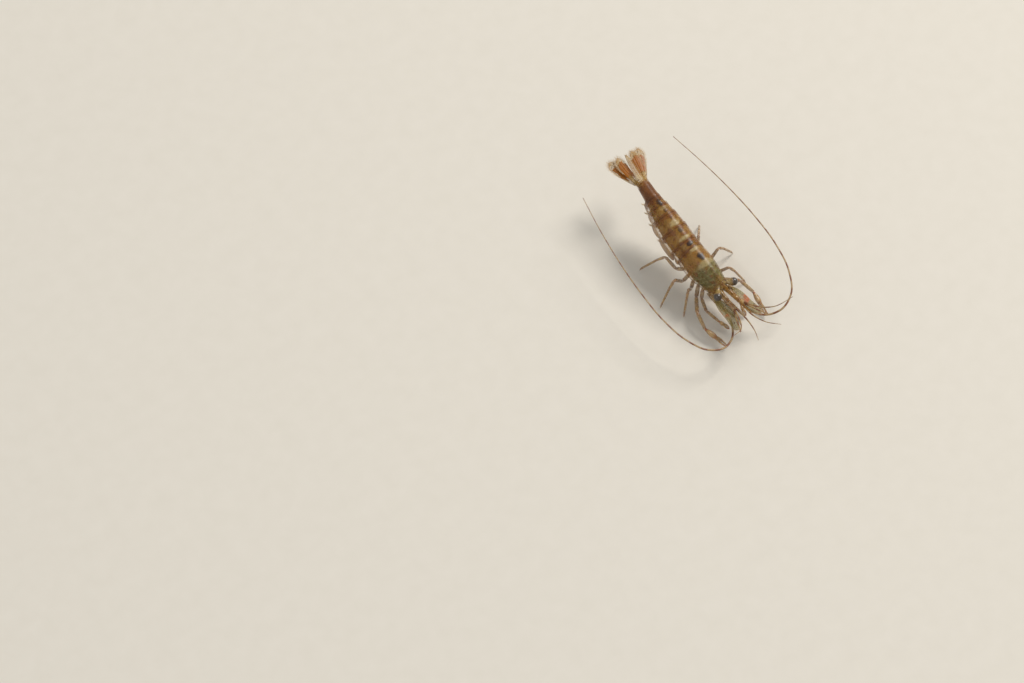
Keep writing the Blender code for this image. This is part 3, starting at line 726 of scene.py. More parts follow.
def shield_at(u, v, depth):
    """The carapace, a thin saddle with a thicker rim."""
    w = 2 * u - 1
    aside = abs(w)
    spine = bell(aside, 0.5, 0.026)
    front = front_line(aside) - 0.8 * spine
    place = front + (rear_line(aside) - front) * v
    groove = 0.07 * bell(place, 2.4 + 2.4 * aside, 0.2) * ease(aside, 0.08, 0.25)
    line = 0.05 * bell(aside, 0.63, 0.012) * ease(place, 0.9, 1.7)
    rim = 0.05 * max(bell(v, 0, 0.012), bell(v, 1, 0.015), bell(aside, 1, 0.025))
    flare = 0.08 * v**4 + 0.12 * spine * bell(v, 0, 0.05)
    depth += groove + line - rim - flare
    return posed(place, *arch(place, w, 0.55, 0.18, shield_edge(place), depth))


def shell_plate(name, columns, rows, lay, node, layers=(0.0, SHELL)):
    """A piece of shell, laid on a formula."""
    bm = new_bm()
    plate(bm, columns, rows, lay, layers)
    finish_piece(name, bm, SHELL_FINISH, "shell", node)


shell_plate("head_shield", 128, 60, shield_at, "carapace")
tell("head_shield")

# %% The rostrum
ridge = curve((-9.6, 3.1), (-5, 2.75), (0, 2.75), (4.3, 3.35))
under_edge = curve((-9.6, 2.85), (-6, 1.85), (-3, 1.6), (0, 1.7), (4.3, 2.7))
ROSTRUM_END, ROSTRUM_TIP = 4.3, -9.6
UPPER_TEETH = [3.55 - 1.794 * i for i in range(8)]
LOWER_TEETH = [-7.85, -5.5, -3.2]


def tooth(place, tips, height, rise, fall=0.16):
    """Height of a saw of forward teeth at that place: a slow rise from behind, then a sharp fall."""
    best = 0.0
    for tip in tips:
        behind = place - tip
        if -fall < behind <= 0:
            best = max(best, height * (1 + behind / fall))
        elif 0 < behind < rise:
            best = max(best, height * (1 - behind / rise) ** 1.5)
    return best


def rostrum_at(u, v, sign):
    """The toothed blade between the eyes, thickest along its middle."""
    place = ROSTRUM_END + (ROSTRUM_TIP - ROSTRUM_END) * u
    saw_up, saw_down = tooth(place, UPPER_TEETH, 0.42, 1.25), tooth(place, LOWER_TEETH, 0.26, 1.0)
    low, high = under_edge(place) - saw_down, ridge(place) + saw_up
    up = low + (high - low) * v
    belly_of = max(0.0, 1 - abs(2 * v - 1) ** 2.2) ** 0.7
    half = (0.30 - 0.17 * u) * belly_of + 0.025 + 0.09 * bell(v, 0.45, 0.09) * (1 - u)
    return posed(place, sign * half, up, -0.35 * saw_up * v**3 - 0.3 * saw_down * (1 - v) ** 3)


shell_plate("rostrum", 230, 14, rostrum_at, "carapace", (1, -1))
tell("rostrum")

# %% [markdown]
# ## Rings of the abdomen
# Each ring is a tile. Its hind edge lies over the front of the next ring, so that the tail can curl,
# and on the sides the plate of the second ring lies over both its neighbours, which is how this kind
# of shrimp is told from a true prawn of the open sea. So a ring sits a little inside the body line at
# an edge that is covered, and a little outside it at one that covers.

# %% The first five rings
PLEURON_TIPS = (-4.0, -4.9, -4.5, -3.8, -3.2)  # how low the side plates reach
MARGIN_SWEEPS = (0.0, -0.9, 0.9, 0.6, 0.5, 0.4)  # how far back each joint sweeps low on the side
SWEEP_ROUNDS = 5


def ring_on(number):
    """The formula of one ring of the abdomen with its two side plates."""
    first, last = SOMITE_ENDS[number - 1 : number + 1]
    front_sweep, rear_sweep = MARGIN_SWEEPS[number - 1 : number + 1]
    lowest = PLEURON_TIPS[number - 1]

    def lay(u, v, depth):
        w = 2 * u - 1
        place = first + (last - first) * v
        for _ in range(SWEEP_ROUNDS):  # the sweep depends on the level, and the level on the place
            low = ease(-arch(place, w, 0.6, 0.12, lowest)[1], 0.6, 3.2)
            lap = 0.3 * (1 - low)
            front, rear = first + front_sweep * low - lap, last + rear_sweep * low + lap
            place = front + (rear - front) * v
        over_front = 0.24 * low - 0.10 if number == 2 else -0.10
        over_back = 0.07 - 0.14 * low if number == 1 else 0.07
        rim = 0.035 * max(bell(v, 1, 0.03), bell(abs(w), 1, 0.02), low * bell(v, 0, 0.03))
        crease = 0.05 * bell(v, 0.28, 0.03) * (1 - low) + 0.04 * low * bell(abs(w), 0.74, 0.02)
        proud = over_front * (1 - v) ** 3 + over_back * v**3 + rim - crease
        tip_share = 0.66 + 0.34 * math.sqrt(max(0.0, 1 - abs(2 * v - 1) ** 2.4))
        side = side_level(place)
        return posed(place, *arch(place, w, 0.6, 0.12, side + (lowest - side) * tip_share, depth - proud))

    return lay


for number in range(1, 6):
    shell_plate(f"ring_{number}", 96, 26, ring_on(number), f"abdomen_{number}")
tell("ring")

# %% [markdown]
# The sixth ring has no side plates. It is a tapering sleeve whose hind rim turns in, and the flesh and
# the roots of the tail blades come out of it.

# %% The sixth ring
SLEEVE_START, SLEEVE_END, SLEEVE_SIDES = 25.45, 30.5, 40
ROLLED_RIM = [(30.56, 0.97), (30.52, 0.9), (30.3, 0.86), (29.9, 0.84)]  # places, and how far drawn in


def sleeve_section(place, share):
    """A ring of the sleeve; share draws the rolled hind rim in."""
    half, side = half_width(place) * share, side_level(place)
    roof, floor = (back_height(place) - side) * share, (side - belly(place)) * share
    tuck = -0.10 * bell(place, SLEEVE_START, 0.5)
    section = []
    for turn in np.linspace(0, math.tau, SLEEVE_SIDES, endpoint=False):
        up = side + ((roof if math.cos(turn) > 0 else floor) + tuck) * math.cos(turn)
        back = 0.35 * ease(place, 29.4, SLEEVE_END) * abs(math.sin(turn)) ** 4
        section.append(posed(place, (half + tuck) * math.sin(turn), up, back))
    return section


stations = [(SLEEVE_START + (SLEEVE_END - SLEEVE_START) * t, 1.0) for t in np.linspace(0, 1, 40)]
bm = new_bm()
tube(bm, [sleeve_section(*station) for station in stations + ROLLED_RIM])
finish_piece("ring_6", bm, SHELL_FINISH, "dark_shell", "abdomen_6")
tell("ring_6")

# %% [markdown]
# ## Blades: colour
# The tail fan and the scales beside the feelers are clear blades. The tail blades have a pale root,
# an orange-brown patch with a torn hind edge, and pale tips, and the middle blade is paler than its
# neighbours. The scales are olive, with one orange spot. On a blade the mark is how far it is across,
# from -1 to 1, how far along, from 0 to 1, and a number for the kind of blade.

# %% The blade finish
TELSON, TAIL, OUTER_TAIL, SCALE, PADDLE = -0.15, 0.0, 0.15, 1.0, 2.0


def mix_blade():
    """Clear ribbed blade, patterned by its kind."""
    mix = Finish("blade", Coat_Weight=0.08, Coat_Roughness=0.25, Specular_IOR_Level=0.25)
    across, along, kind = mix.marks()
    aside = abs(across)
    clouds, fine = mix.noise(1.6, 4.0), mix.noise(0.5)
    is_scale, is_tail = kind.is_near(SCALE, 0.2), kind.is_near(TAIL, 0.2)

    torn = aside * 0.08 + along + mix.noise(0.9, 4.0) * 0.34 - 0.17
    edge = (clouds * 0.8 + across - 0.4).step(0.70, 0.86) * kind.is_near(OUTER_TAIL, 0.05)
    edge |= kind.is_near(TELSON, 0.05) * 0.6
    patch = torn.step(0.24, 0.34) * torn.fall(0.80, 0.88) * is_tail * (1 - edge)
    tips = torn.step(0.90, 0.97) * is_tail
    rays = (along * 3 + aside).wave(62.0).step(0.1, 0.95) * along.step(0.25, 0.6)
    spot = clouds.step(0.42, 0.56) * along.band(0.34, 0.60, 0.06) * across.step(-0.6, 0.1) * is_scale
    flecks = mix.flecks(0.8, 0.08, 0.34) | mix.flecks(0.4, 0.08, 0.34) * 0.8

    colour = mix.paint(
        mix.mix(clouds.step(0.3, 0.7), (164, 126, 62), (188, 154, 88)),
        (is_scale * 0.85, mix.mix(clouds, (112, 104, 50), (148, 134, 72))),
        (kind.is_near(PADDLE, 0.2) * 0.7, (202, 178, 128)),
        (rays * 0.3, (208, 182, 130)),
        (flecks * 0.75, BROWN),
        (patch * 0.95, mix.mix(fine, (130, 70, 8), (166, 98, 18))),
        (tips * 0.7, (184, 144, 84)),
        (spot * 0.9, ORANGE),
    )
    solid = (
        clouds.step(0.3, 0.7, 0.38, 0.52) | is_scale * 0.56 | patch * 0.97 | tips * 0.6
        | flecks * 0.85 | spot * 0.85 | mix.rim() * 0.62 | aside.fall(0.03, 0.10) * 0.7
    )
    mix.bump(rays * 0.5 + fine, 0.03, 0.5)
    return mix.done(colour, solid, fine.step(0.3, 0.7, 0.3, 0.42))


BLADE_FINISH = mix_blade()
print("nodes in the blade finish:", len(BLADE_FINISH.node_tree.nodes))

# %% [markdown]
# ## Leaves
# Every flat limb is drawn as one leaf: a way, a spread, and its width on either side as it goes. It is
# thickest along the middle and thin at the rim, and `relief` raises ribs or sinks a suture.

# %% Leaves, spikes and lobes
TIP_START, TIP_PART = 0.93, 0.07  # where the rounding of a leaf's tip begins, and how long it is


def tip_rounding(v):
    """How much a leaf narrows towards its tip."""
    return math.sqrt(max(0.02, 1 - max(0.0, (v - TIP_START) / TIP_PART) ** 2.4))


def leaf(bm, plan, thickness, kind, columns=26, rows=64, relief=None, cup=0.0):
    """A thin leaf. Its plan is (root, way, spread, length, outer width, inner width)."""
    root, way, spread, length, outer, inner = plan
    face = way.cross(spread).normalized()
    if face.z < 0:
        face = -face

    def lay(u, v, rise):
        v = 1 - (1 - v) ** 1.4
        left, right = outer(v) * tip_rounding(v), -inner(v) * tip_rounding(v)
        edge = abs(2 * u - 1)
        half = thickness / 2 * (0.28 + 0.72 * (1 - edge**3)) * (1 - 0.6 * v**3)
        lift = (relief(u, v) if relief and rise > 0 else 0.0) + cup * edge**2
        aside = right + (left - right) * u
        point = root + way * (length * v) + spread * aside + face * (rise * half + lift)
        return point, Vector((2 * u - 1, v, kind))

    plate(bm, columns, rows, lay)


def spike(bm, root, reach, radius, mark, sides=6):
    """A slim pointed spine from root that reaches that far."""
    taper = ((0, 1.0), (0.3, 0.8), (0.7, 0.45), (1, 0.08))
    rope(bm, [(root + reach * t, reach, radius * r, mark) for t, r in taper], reach.orthogonal(), sides)


def lobe(bm, centre, directions, sizes, mark, columns=24, rows=14):
    """A smooth lobe: an egg with its three half sizes along three directions."""
    layer, turn = bm.verts.layers.float_vector["mark"], Matrix(directions).transposed()
    for v in bmesh.ops.create_uvsphere(bm, u_segments=columns, v_segments=rows, radius=1)["verts"]:
        v.co, v[layer] = centre + turn @ (v.co * Vector(sizes)), Vector(mark)


# %% [markdown]
# ## Tail fan
# The telson is the slim middle blade, with two pairs of small spines on its back and more at its tip.
# Each uropod has an inner and an outer blade. The outer one has a straight outer rim that ends in a
# spine, and a suture runs across it from there, where the blade can flex.

# %% The telson
def ribs(u, v):
    """A raised midrib with a groove on each side."""
    middle = 0.07 * bell(u, 0.5, 0.05) - 0.03 * (bell(u, 0.36, 0.04) + bell(u, 0.64, 0.04))
    return middle * ease(v, 0.02, 0.12) * (1 - ease(v, 0.86, 0.98))


def telson_relief(u, v):
    """A keeled back with faint ribs."""
    return 0.10 * (1 - (2 * u - 1) ** 2) + 0.4 * ribs(u, v)


TAIL_ROOT = SOMITE_ENDS[6] + 0.15
TELSON_LENGTH = 7.7
BACK_SPINES = ((0.5, 0.42), (0.5, -0.42), (0.74, 0.3), (0.74, -0.3))  # share of the length, aside
TIP_SPINES = ((0.2, 0.55), (-0.2, 0.55), (0.08, 0.35), (-0.08, 0.35))  # aside, length


def make_telson():
    """The middle blade with its spines."""
    turned = body_way(TAIL_ROOT)
    back, left, up = turned(1, 0, -0.02), turned(0, 1, 0), turned(0, 0, 1)
    start = body(TAIL_ROOT - 0.5, 0, 0.62)
    taper = curve((0, 0.95), (0.5, 0.75), (0.9, 0.42), (1, 0.25))
    plan = (start, back.normalized(), left, TELSON_LENGTH, taper, taper)
    bm = new_bm()
    leaf(bm, plan, 0.6, TELSON, relief=telson_relief)
    for share, aside in BACK_SPINES:
        root = start + back * (TELSON_LENGTH * share) + left * aside + up * 0.2
        spike(bm, root, back * 0.42 + up * 0.12, 0.055, (0.9, share, TAIL))
    for aside, reach in TIP_SPINES:
        root = start + back * (TELSON_LENGTH - 0.15) + left * aside
        spike(bm, root, back * reach + left * (aside * 0.5), 0.05, (0.9, 0.95, TAIL))
    finish_piece("tail_middle", bm, BLADE_FINISH, "tail_blade", "telson")


make_telson()
tell("tail_middle")

# %% The uropods
FRINGED = {"tail": [], "scale": [], "paddle": []}  # plans of the leaves that get hairs


def suture(u, v):
    """The ribs and the flexing line of an outer tail blade."""
    return ribs(u, v) - 0.06 * bell(v, 0.80 + 0.06 * (u - 0.5), 0.009)


def make_tail_blade(side, ramus, kind, across, height, fan, droop, length, outer, inner, relief):
    """One of the four blades beside the telson."""
    sign, turned, lean = SIDES[side], body_way(TAIL_ROOT), math.radians(fan)
    way = turned(math.cos(lean), sign * math.sin(lean), -droop).normalized()
    spread = turned(-math.sin(lean), sign * math.cos(lean), -droop).normalized()
    start = body(TAIL_ROOT + 0.1, sign * across, height)
    plan = (start, way, spread, length, curve(*outer), curve(*inner))
    bm = new_bm()
    leaf(bm, plan, 0.34, kind, 34, 76, relief, cup=-0.05)
    spike(bm, start - way * 0.9 - spread * 0.25, way * 2.3 + spread * 0.25, 0.42, (0, 0.05, TAIL), 12)
    if kind == OUTER_TAIL:
        root = start + way * (length * 0.79) + spread * (plan[4](0.79) - 0.06)
        spike(bm, root, way * 0.55 + spread * 0.06, 0.07, (0.95, 0.8, TAIL))
    FRINGED["tail"].append(plan)
    finish_piece(f"tail_{ramus}_{side}", bm, BLADE_FINISH, "tail_blade", f"uropod_{ramus}_{side}")


TAIL_BLADES = (  # name, kind, place aside and up, fan in degrees, droop, length, both widths, relief
    ("endopod", TAIL, 1.0, -0.15, 7, 0.03, 7.6,
     ((0, 0.4), (0.35, 0.95), (0.75, 1.05), (0.93, 0.7), (1, 0.2)),
     ((0, 0.4), (0.35, 0.75), (0.75, 0.85), (0.93, 0.6), (1, 0.2)), ribs),
    ("exopod", OUTER_TAIL, 1.2, -0.8, 19, 0.05, 8.2,
     ((0, 0.4), (0.3, 0.9), (0.7, 1.1), (0.93, 0.8), (1, 0.25)),
     ((0, 0.4), (0.3, 1.05), (0.7, 1.5), (0.93, 1.0), (1, 0.25)), suture),
)
for side in SIDES:
    for blade in TAIL_BLADES:
        make_tail_blade(side, *blade)
tell(("tail_endopod", "tail_exopod"))

# %% [markdown]
# ## Eyes
# An eye stands on a short stalk that widens into a cup. The cornea is a glossy dome of thousands of
# tiny lenses over dark pigment, with a painted grey sheen round its sides, where the lenses are seen
# edge on. Behind it on the stalk sit rings of brown pigment.

# %% Finishes of the eyes
LENS_SIZE = 0.07  # a few times the real size, so that the lenses can be seen


def mix_cornea():
    """Dark glossy cornea with tiny lenses, and a painted grey sheen round its sides."""
    mix = Finish("cornea", Coat_Weight=0.7, Coat_Roughness=0.1, Specular_IOR_Level=0.5)
    lenses, clouds = mix.cells(LENS_SIZE)[0], mix.noise(0.6)
    # painted sheen: a cold grey colour laid over the sides of the cornea, fading out towards its front
    painted_sheen = mix.marks()[0].fall(0.1, 0.95) * clouds.step(0.35, 0.7)
    colour = mix.paint(
        mix.mix(clouds, (24, 16, 13), (50, 34, 25)),
        (painted_sheen * 0.35, (74, 68, 58)),
        (lenses.step(0.2, 0.6, 0.0, 0.35), (88, 76, 60)),
    )
    mix.bump(lenses, 0.02, 0.6)
    return mix.done(colour, None, clouds.step(0.3, 0.7, 0.22, 0.34))


def mix_stalk():
    """Amber stalk with rings of brown pigment."""
    mix = Finish("stalk", Coat_Weight=0.6, Coat_Roughness=0.1)
    clouds = mix.noise(0.7, 4.0)
    torn = mix.marks()[0] + clouds * 0.3 - 0.15
    rings = torn.band(0.28, 0.42, 0.05) | torn.step(0.78, 0.92)
    colour = mix.paint(
        mix.mix(clouds, (158, 128, 72), (190, 164, 106)),
        (mix.flecks(0.3, 0.1, 0.4) * 0.7, BROWN),
        (rings * 0.75, (84, 52, 30)),
    )
    mix.bump(clouds, 0.02, 0.5)
    return mix.done(colour, rings | 0.8, clouds.step(0.3, 0.7, 0.25, 0.4))


CORNEA_FINISH, STALK_FINISH = mix_cornea(), mix_stalk()
print("nodes in the finish of the cornea:", len(CORNEA_FINISH.node_tree.nodes))

# %% The eyes on their stalks
EYE_RADIUS = 0.95
EYE_CENTRES = {"left": (-1.0, 2.75, 1.5), "right": (-1.7, 2.65, 1.5)}
STALK_STEPS, STALK_SIDES = 36, 28
swell = curve((0, 0.40), (0.25, 0.44), (0.5, 0.47), (0.72, 0.66), (0.86, 0.88), (0.95, 0.955), (1, 0.93))


def make_eye(side):
    """A cornea and its stalk."""
    centre, root = body_run(SIDES[side], (EYE_CENTRES[side], (0.3, 0.6, 1.3)))
    way, reach = (centre - root).normalized(), (centre - root).length

    bm = new_bm()
    bmesh.ops.create_uvsphere(bm, u_segments=40, v_segments=26, radius=EYE_RADIUS)
    turn = way.to_track_quat("Z", "Y").to_matrix()
    mark = bm.verts.layers.float_vector["mark"]
    for v in bm.verts:
        v[mark] = Vector((v.co.z, v.co.x, v.co.y)) / EYE_RADIUS
        flatter_behind = 1 - 0.25 * ease(-v.co.z, 0.0, EYE_RADIUS)
        v.co = centre + turn @ Vector((v.co.x, v.co.y, v.co.z * flatter_behind))
    finish_piece(f"cornea_{side}", bm, CORNEA_FINISH, "eye", f"eye_{side}")

    bm = new_bm()
    stops = []
    for t in np.linspace(0, 1, STALK_STEPS).tolist():
        bead = 1 + 0.05 * bell(t, 0.44, 0.03) - 0.06 * bell(t, 0.5, 0.02)
        stops.append((root + way * ((reach - 0.22) * t), way, swell(t) * bead, (t, 0, 0)))
    rope(bm, stops, UP, STALK_SIDES)
    finish_piece(f"stalk_{side}", bm, STALK_FINISH, "stalk", f"eyestalk_{side}")


for side in SIDES:
    make_eye(side)
tell(("cornea", "stalk"))

# %% [markdown]
# ## Limbs: colour
# The limbs are clear horn over pale muscle. Orange and brown pigment gathers at each joint and in a
# loose band half way along, and fine dots lie over all of it. On a limb the mark is how far along it
# is in millimetres, and how near to a joint, from 0 to 1. Feelers are ringed: darker and lighter
# stretches follow one another to the tip.

# %% Finishes of the limbs
def mix_limb(name, base, light, band_colour, band_strength, clear):
    """Clear jointed limb with pigment at its joints."""
    mix = Finish(name, Coat_Weight=0.4, Coat_Roughness=0.12, Specular_IOR_Level=0.45)
    along, joint, _ = mix.marks()
    clouds, fine = mix.noise(1.2, 4.0), mix.noise(0.4)
    flecks = mix.flecks(0.5, 0.08, 0.36) | mix.flecks(0.28, 0.06, 0.3) * 0.7
    cuffs = (joint + fine * 0.5 - 0.25).step(0.35, 0.8) * band_strength
    core = (clouds * 1.6 + along).wave(2.1).step(0.55, 0.95) * (0.45 * band_strength)
    colour = mix.paint(
        mix.mix(clouds.step(0.3, 0.7), base, light),
        (cuffs | core, band_colour),
        (flecks * 0.7, BROWN),
    )
    mix.bump(fine, 0.02, 0.5)
    solid = clouds.step(0.3, 0.7, clear, clear + 0.14) | cuffs | flecks * 0.9
    return mix.done(colour, solid, fine.step(0.3, 0.7, 0.2, 0.35))


LIMB_FINISH = mix_limb("limb", (158, 120, 60), (184, 148, 86), (142, 76, 34), 0.6, 0.52)
CLAW_FINISH = mix_limb("claw", (164, 122, 62), (190, 152, 92), (160, 76, 34), 0.8, 0.60)
PADDLE_FINISH = mix_limb("swimmeret", (186, 160, 108), (204, 182, 134), (134, 84, 46), 0.5, 0.45)
FEELER_RING = 0.3  # length of one small ring of a feeler


def mix_feeler():
    """Ringed feeler, red-brown and clear by turns."""
    mix = Finish("feeler", Coat_Weight=0.4, Coat_Roughness=0.15)
    along, fine = mix.marks()[0], mix.noise(0.5)
    ringed = along.wave(math.tau / FEELER_RING)
    dark = (fine * 0.8 + along).wave(math.tau / 3.1).step(-0.2, 0.6)
    colour = mix.mix(dark, (178, 144, 92), (130, 80, 46))
    colour = mix.mix(ringed.step(0.3, 0.9) * 0.3, colour, (96, 54, 32))
    mix.bump(ringed, 0.02, 0.6)
    return mix.done(colour, dark.step(0.0, 1.0, 0.74, 0.96), fine.step(0.3, 0.7, 0.3, 0.45))


FEELER_FINISH = mix_feeler()
print("nodes in the limb finish:", len(LIMB_FINISH.node_tree.nodes))

# %% [markdown]
# ## Jointed limbs
# An article of a limb swells a little, ends in a cuff, and the next one comes out of it through a
# narrow soft neck. So a limb is one tube whose radius follows that rhythm, with the neck bent round
# the joint on a short curve. A feeler is one long taper of small rings.

# %% Drawing a limb
ARTICLE_RINGS = 15
NECK_RINGS = (0.12, 0.35, 0.65, 0.88)  # shares of the way round a joint
FAR = 99.0  # stands for the joint that the end of a limb doesn't have


def limb(bm, joints, widths, sides=16, guide=UP, bulge=0.1, flat=1.0):
    """A jointed limb along its joints, with the half width given at each."""
    spans = [(b - a).length for a, b in zip(joints, joints[1:])]
    ways = [(b - a).normalized() for a, b in zip(joints, joints[1:])]
    bends = [0.0] + [a.angle(b) for a, b in zip(ways, ways[1:])] + [0.0]
    necks = [width * math.tan(bend / 2) + 0.12 for width, bend in zip(widths, bends)]
    necks[0] = necks[-1] = 0.0
    stops, reached = [], 0.0
    for i, (way, span) in enumerate(zip(ways, spans)):
        near, far = min(necks[i], span * 0.4), min(necks[i + 1], span * 0.4)
        last = i + 1 == len(ways)
        for t in np.linspace(0, 1, ARTICLE_RINGS).tolist():
            since, left = t * span if i else FAR, FAR if last else (1 - t) * span
            cuff = 1 + 0.16 * bell(left, 0.05, 0.16) - 0.14 * bell(since, 0, 0.22)
            close = bell(min(since, left), 0, 0.45)
            width = (widths[i] + (widths[i + 1] - widths[i]) * t) * (1 + bulge * math.sin(math.pi * t))
            gone = near + (span - near - far) * t
            stops.append((joints[i] + way * gone, way, width * cuff, (reached + gone, close, 0)))
        reached += span
        if last:
            continue
        after = min(necks[i + 1], spans[i + 1] * 0.4)
        a, b, c = joints[i + 1] - way * far, joints[i + 1], joints[i + 1] + ways[i + 1] * after
        for t in NECK_RINGS:
            centre = a * (1 - t) ** 2 + b * (2 * t * (1 - t)) + c * t * t
            stops.append((centre, way.lerp(ways[i + 1], t), widths[i + 1] * 0.8, (reached, 0.6, 0)))
    rope(bm, stops, guide, sides, flat)


def whip(bm, knots, start, end, step=0.1, sides=9):
    """A tapering feeler of small rings through smooth knots."""
    length = sum((b - a).length for a, b in zip(knots, knots[1:]))
    path = smooth_path(knots, int(length / step))
    stops = []
    for i, (share, point, way) in enumerate(path):
        ringing = 1 + 0.035 * math.cos(math.tau * i * step / FEELER_RING)
        stops.append((point, way, (start + (end - start) * share**0.75) * ringing, (share * length, 0, 0)))
    rope(bm, stops, UP, sides)
    return [point for _, point, _ in path]


def limb_piece(name, joints, widths, node, finish=LIMB_FINISH, slot="limb", **shape):
    """A limb that is a piece of its own."""
    bm = new_bm()
    limb(bm, joints, widths, **shape)
    finish_piece(name, bm, finish, slot, node)


def beyond(joints, gap):
    """A point that far past the last joint."""
    return joints[-1] + (joints[-1] - joints[-2]).normalized() * gap


# %% [markdown]
# ## First feelers
# An antennule has a base of three articles, the first the longest with a small spike outside, and two
# long whips. The outer whip forks near its root, and its short branch carries the scent hairs.

# %% The antennules
ANTENNULE_STOPS = ((0.6, 0.8, 0.0), (-3.4, 1.05, 0.15), (-4.7, 1.15, 0.25), (-6.2, 1.25, 0.35))
ANTENNULE_WHIPS = {  # half widths at both ends, where it starts, and its knots from there
    "outer": (0.25, 0.055, (0.30, 0.40), (1.2, 3.2, 1.4), (3.4, 6.4, 3.9), (6.8, 8.0, 6.8)),
    "inner": (0.25, 0.055, (-0.38, 0.05), (0.0, 3.6, 0.5), (0.8, 7.2, 1.7), (2.4, 10.6, 3.6)),
    "short": (0.24, 0.12, (0.42, -0.35), (0.9, 2.0, 0.1), (1.6, 3.9, 0.4), (2.3, 5.2, 0.8)),
}
SCENT_WHIPS = {}


def make_antennule(side):
    """The base of a first feeler and its three whips."""
    sign = SIDES[side]
    joints = body_run(sign, ANTENNULE_STOPS)
    bm = new_bm()
    limb(bm, joints, (0.70, 0.60, 0.52, 0.56), guide=Vector((sign, 0, 0)), bulge=0.04, flat=0.82)
    spike(bm, body(-0.9, sign * 1.6, -0.1), Vector((sign * 0.55, -1.7, 0.0)), 0.22, (1, 0.5, 0), 10)
    spike(bm, body(-3.1, sign * 1.55, 0.1), Vector((sign * 0.12, -0.8, 0.0)), 0.14, (3, 0.5, 0), 8)
    finish_piece(f"antennule_stem_{side}", bm, LIMB_FINISH, "limb", f"antennule_base_{side}")

    tip = beyond(joints, 0.23)
    for name, (thick, thin, (across, up), *steps) in ANTENNULE_WHIPS.items():
        start = tip + Vector((sign * across, 0, up))
        knots = [start] + [start + Vector((sign * x, -y, z)) for x, y, z in steps]
        knots[0] = start - (knots[1] - start).normalized() * 0.3
        bm = new_bm()
        points = whip(bm, knots, thick, thin)
        if name == "short":
            SCENT_WHIPS[side] = points
        finish_piece(f"whip_{name}_{side}", bm, FEELER_FINISH, "feeler", f"antennule_{name}_{side}")


for side in SIDES:
    make_antennule(side)
tell(("antennule", "whip"))

# %% [markdown]
# ## Second feelers
# The antenna has a short thick base and one whip, by far the longest thing on the animal, that swings
# out ahead and back along its flank. It is drawn as a single tapering run, so that no seam shows
# where two solids carry it. Beside it lies the broad scale that the shrimp steers with, straight along
# its outer rim up to a spine, and bowed inside.

# %% The antennae and their scales
WHIP_STEPS = (  # knots of the long whip, from its root
    (0.7, -3.2, -0.5), (3.0, -6.2, -0.4), (6.4, -7.4, 0.4), (9.9, -6.0, 1.4), (12.6, -1.6, 2.4),
    (14.0, 5.0, 3.4), (14.2, 13.0, 4.4), (13.6, 22.0, 5.3), (12.4, 31.0, 6.2), (10.8, 39.6, 7.1),
)
WHIP_LIFTS = {"left": 1.25, "right": 1.0}
SCALE_LENGTH = 9.0
scale_outer = curve((0, 0.2), (0.15, 0.68), (0.6, 0.8), (0.92, 0.72), (1, 0.5))
scale_inner = curve((0, 0.25), (0.2, 1.2), (0.6, 1.45), (0.9, 0.95), (1, 0.1))


def scale_ribs(u, v):
    """A strong rib near the outer rim of a scale, and a weak one along its middle."""
    height = 0.10 * bell(u, 0.72, 0.05) + 0.05 * bell(u, 0.5, 0.04)
    return height * ease(v, 0.02, 0.1) * (1 - ease(v, 0.9, 1.0))


def make_antenna(side):
    """The base of a second feeler, its long whip and its scale."""
    sign, turned = SIDES[side], body_way(-1)
    joints = body_run(sign, ((1.0, 1.5, -2.0), (-1.9, 1.95, -2.15), (-4.3, 2.1, -2.3)))
    way = turned(-1, sign * 0.10, 0.03).normalized()
    spread = turned(0.10, sign, -0.22).normalized()
    start = body(-1.1, sign * 2.5, -0.95)
    bm = new_bm()
    limb(bm, joints, (0.72, 0.6, 0.46), guide=Vector((sign, 0, 0)), bulge=0.05)
    spike(bm, body(-1.2, sign * 2.45, -2.3), Vector((sign * 0.15, -0.9, -0.05)), 0.2, (1, 0.6, 0), 8)
    root = start - way * 0.2 - spread * 0.1
    lobe(bm, root, (way, spread, way.cross(spread)), (0.7, 0.40, 0.32), (1, 0.3, 0))
    finish_piece(f"antenna_stem_{side}", bm, LIMB_FINISH, "limb", f"antenna_base_{side}")

    root, lift = beyond(joints, 0.25), WHIP_LIFTS[side]
    knots = [beyond(joints, -0.25)] + [root + Vector((sign * x, y, z * lift)) for x, y, z in WHIP_STEPS]
    bm = new_bm()
    whip(bm, knots, 0.30, 0.07)
    finish_piece(f"long_whip_{side}", bm, FEELER_FINISH, "feeler", f"antenna_1_{side}", f"antenna_2_{side}")

    plan = (start, way, spread, SCALE_LENGTH, scale_outer, scale_inner)
    bm = new_bm()
    leaf(bm, plan, 0.34, SCALE, 34, 80, scale_ribs, cup=0.08)
    spike(bm, start + way * 7.7 + spread * 0.68, way * 0.95 + spread * 0.03, 0.09, (0.95, 0.9, SCALE), 8)
    FRINGED["scale"].append(plan)
    finish_piece(f"feeler_scale_{side}", bm, BLADE_FINISH, "tail_blade", f"antennal_scale_{side}")


for side in SIDES:
    make_antenna(side)
tell(("antenna_", "long_whip", "feeler_scale"))

# %% [markdown]
# ## Mouth limbs and walking legs
# The hindmost mouth limbs look like small legs held forward. The last three pairs of legs carry the
# body and end in one sharp point. Each walking leg is planned in the upright plane through its hip
# and its foot: the knee is where a thigh and a shin of the right lengths meet.

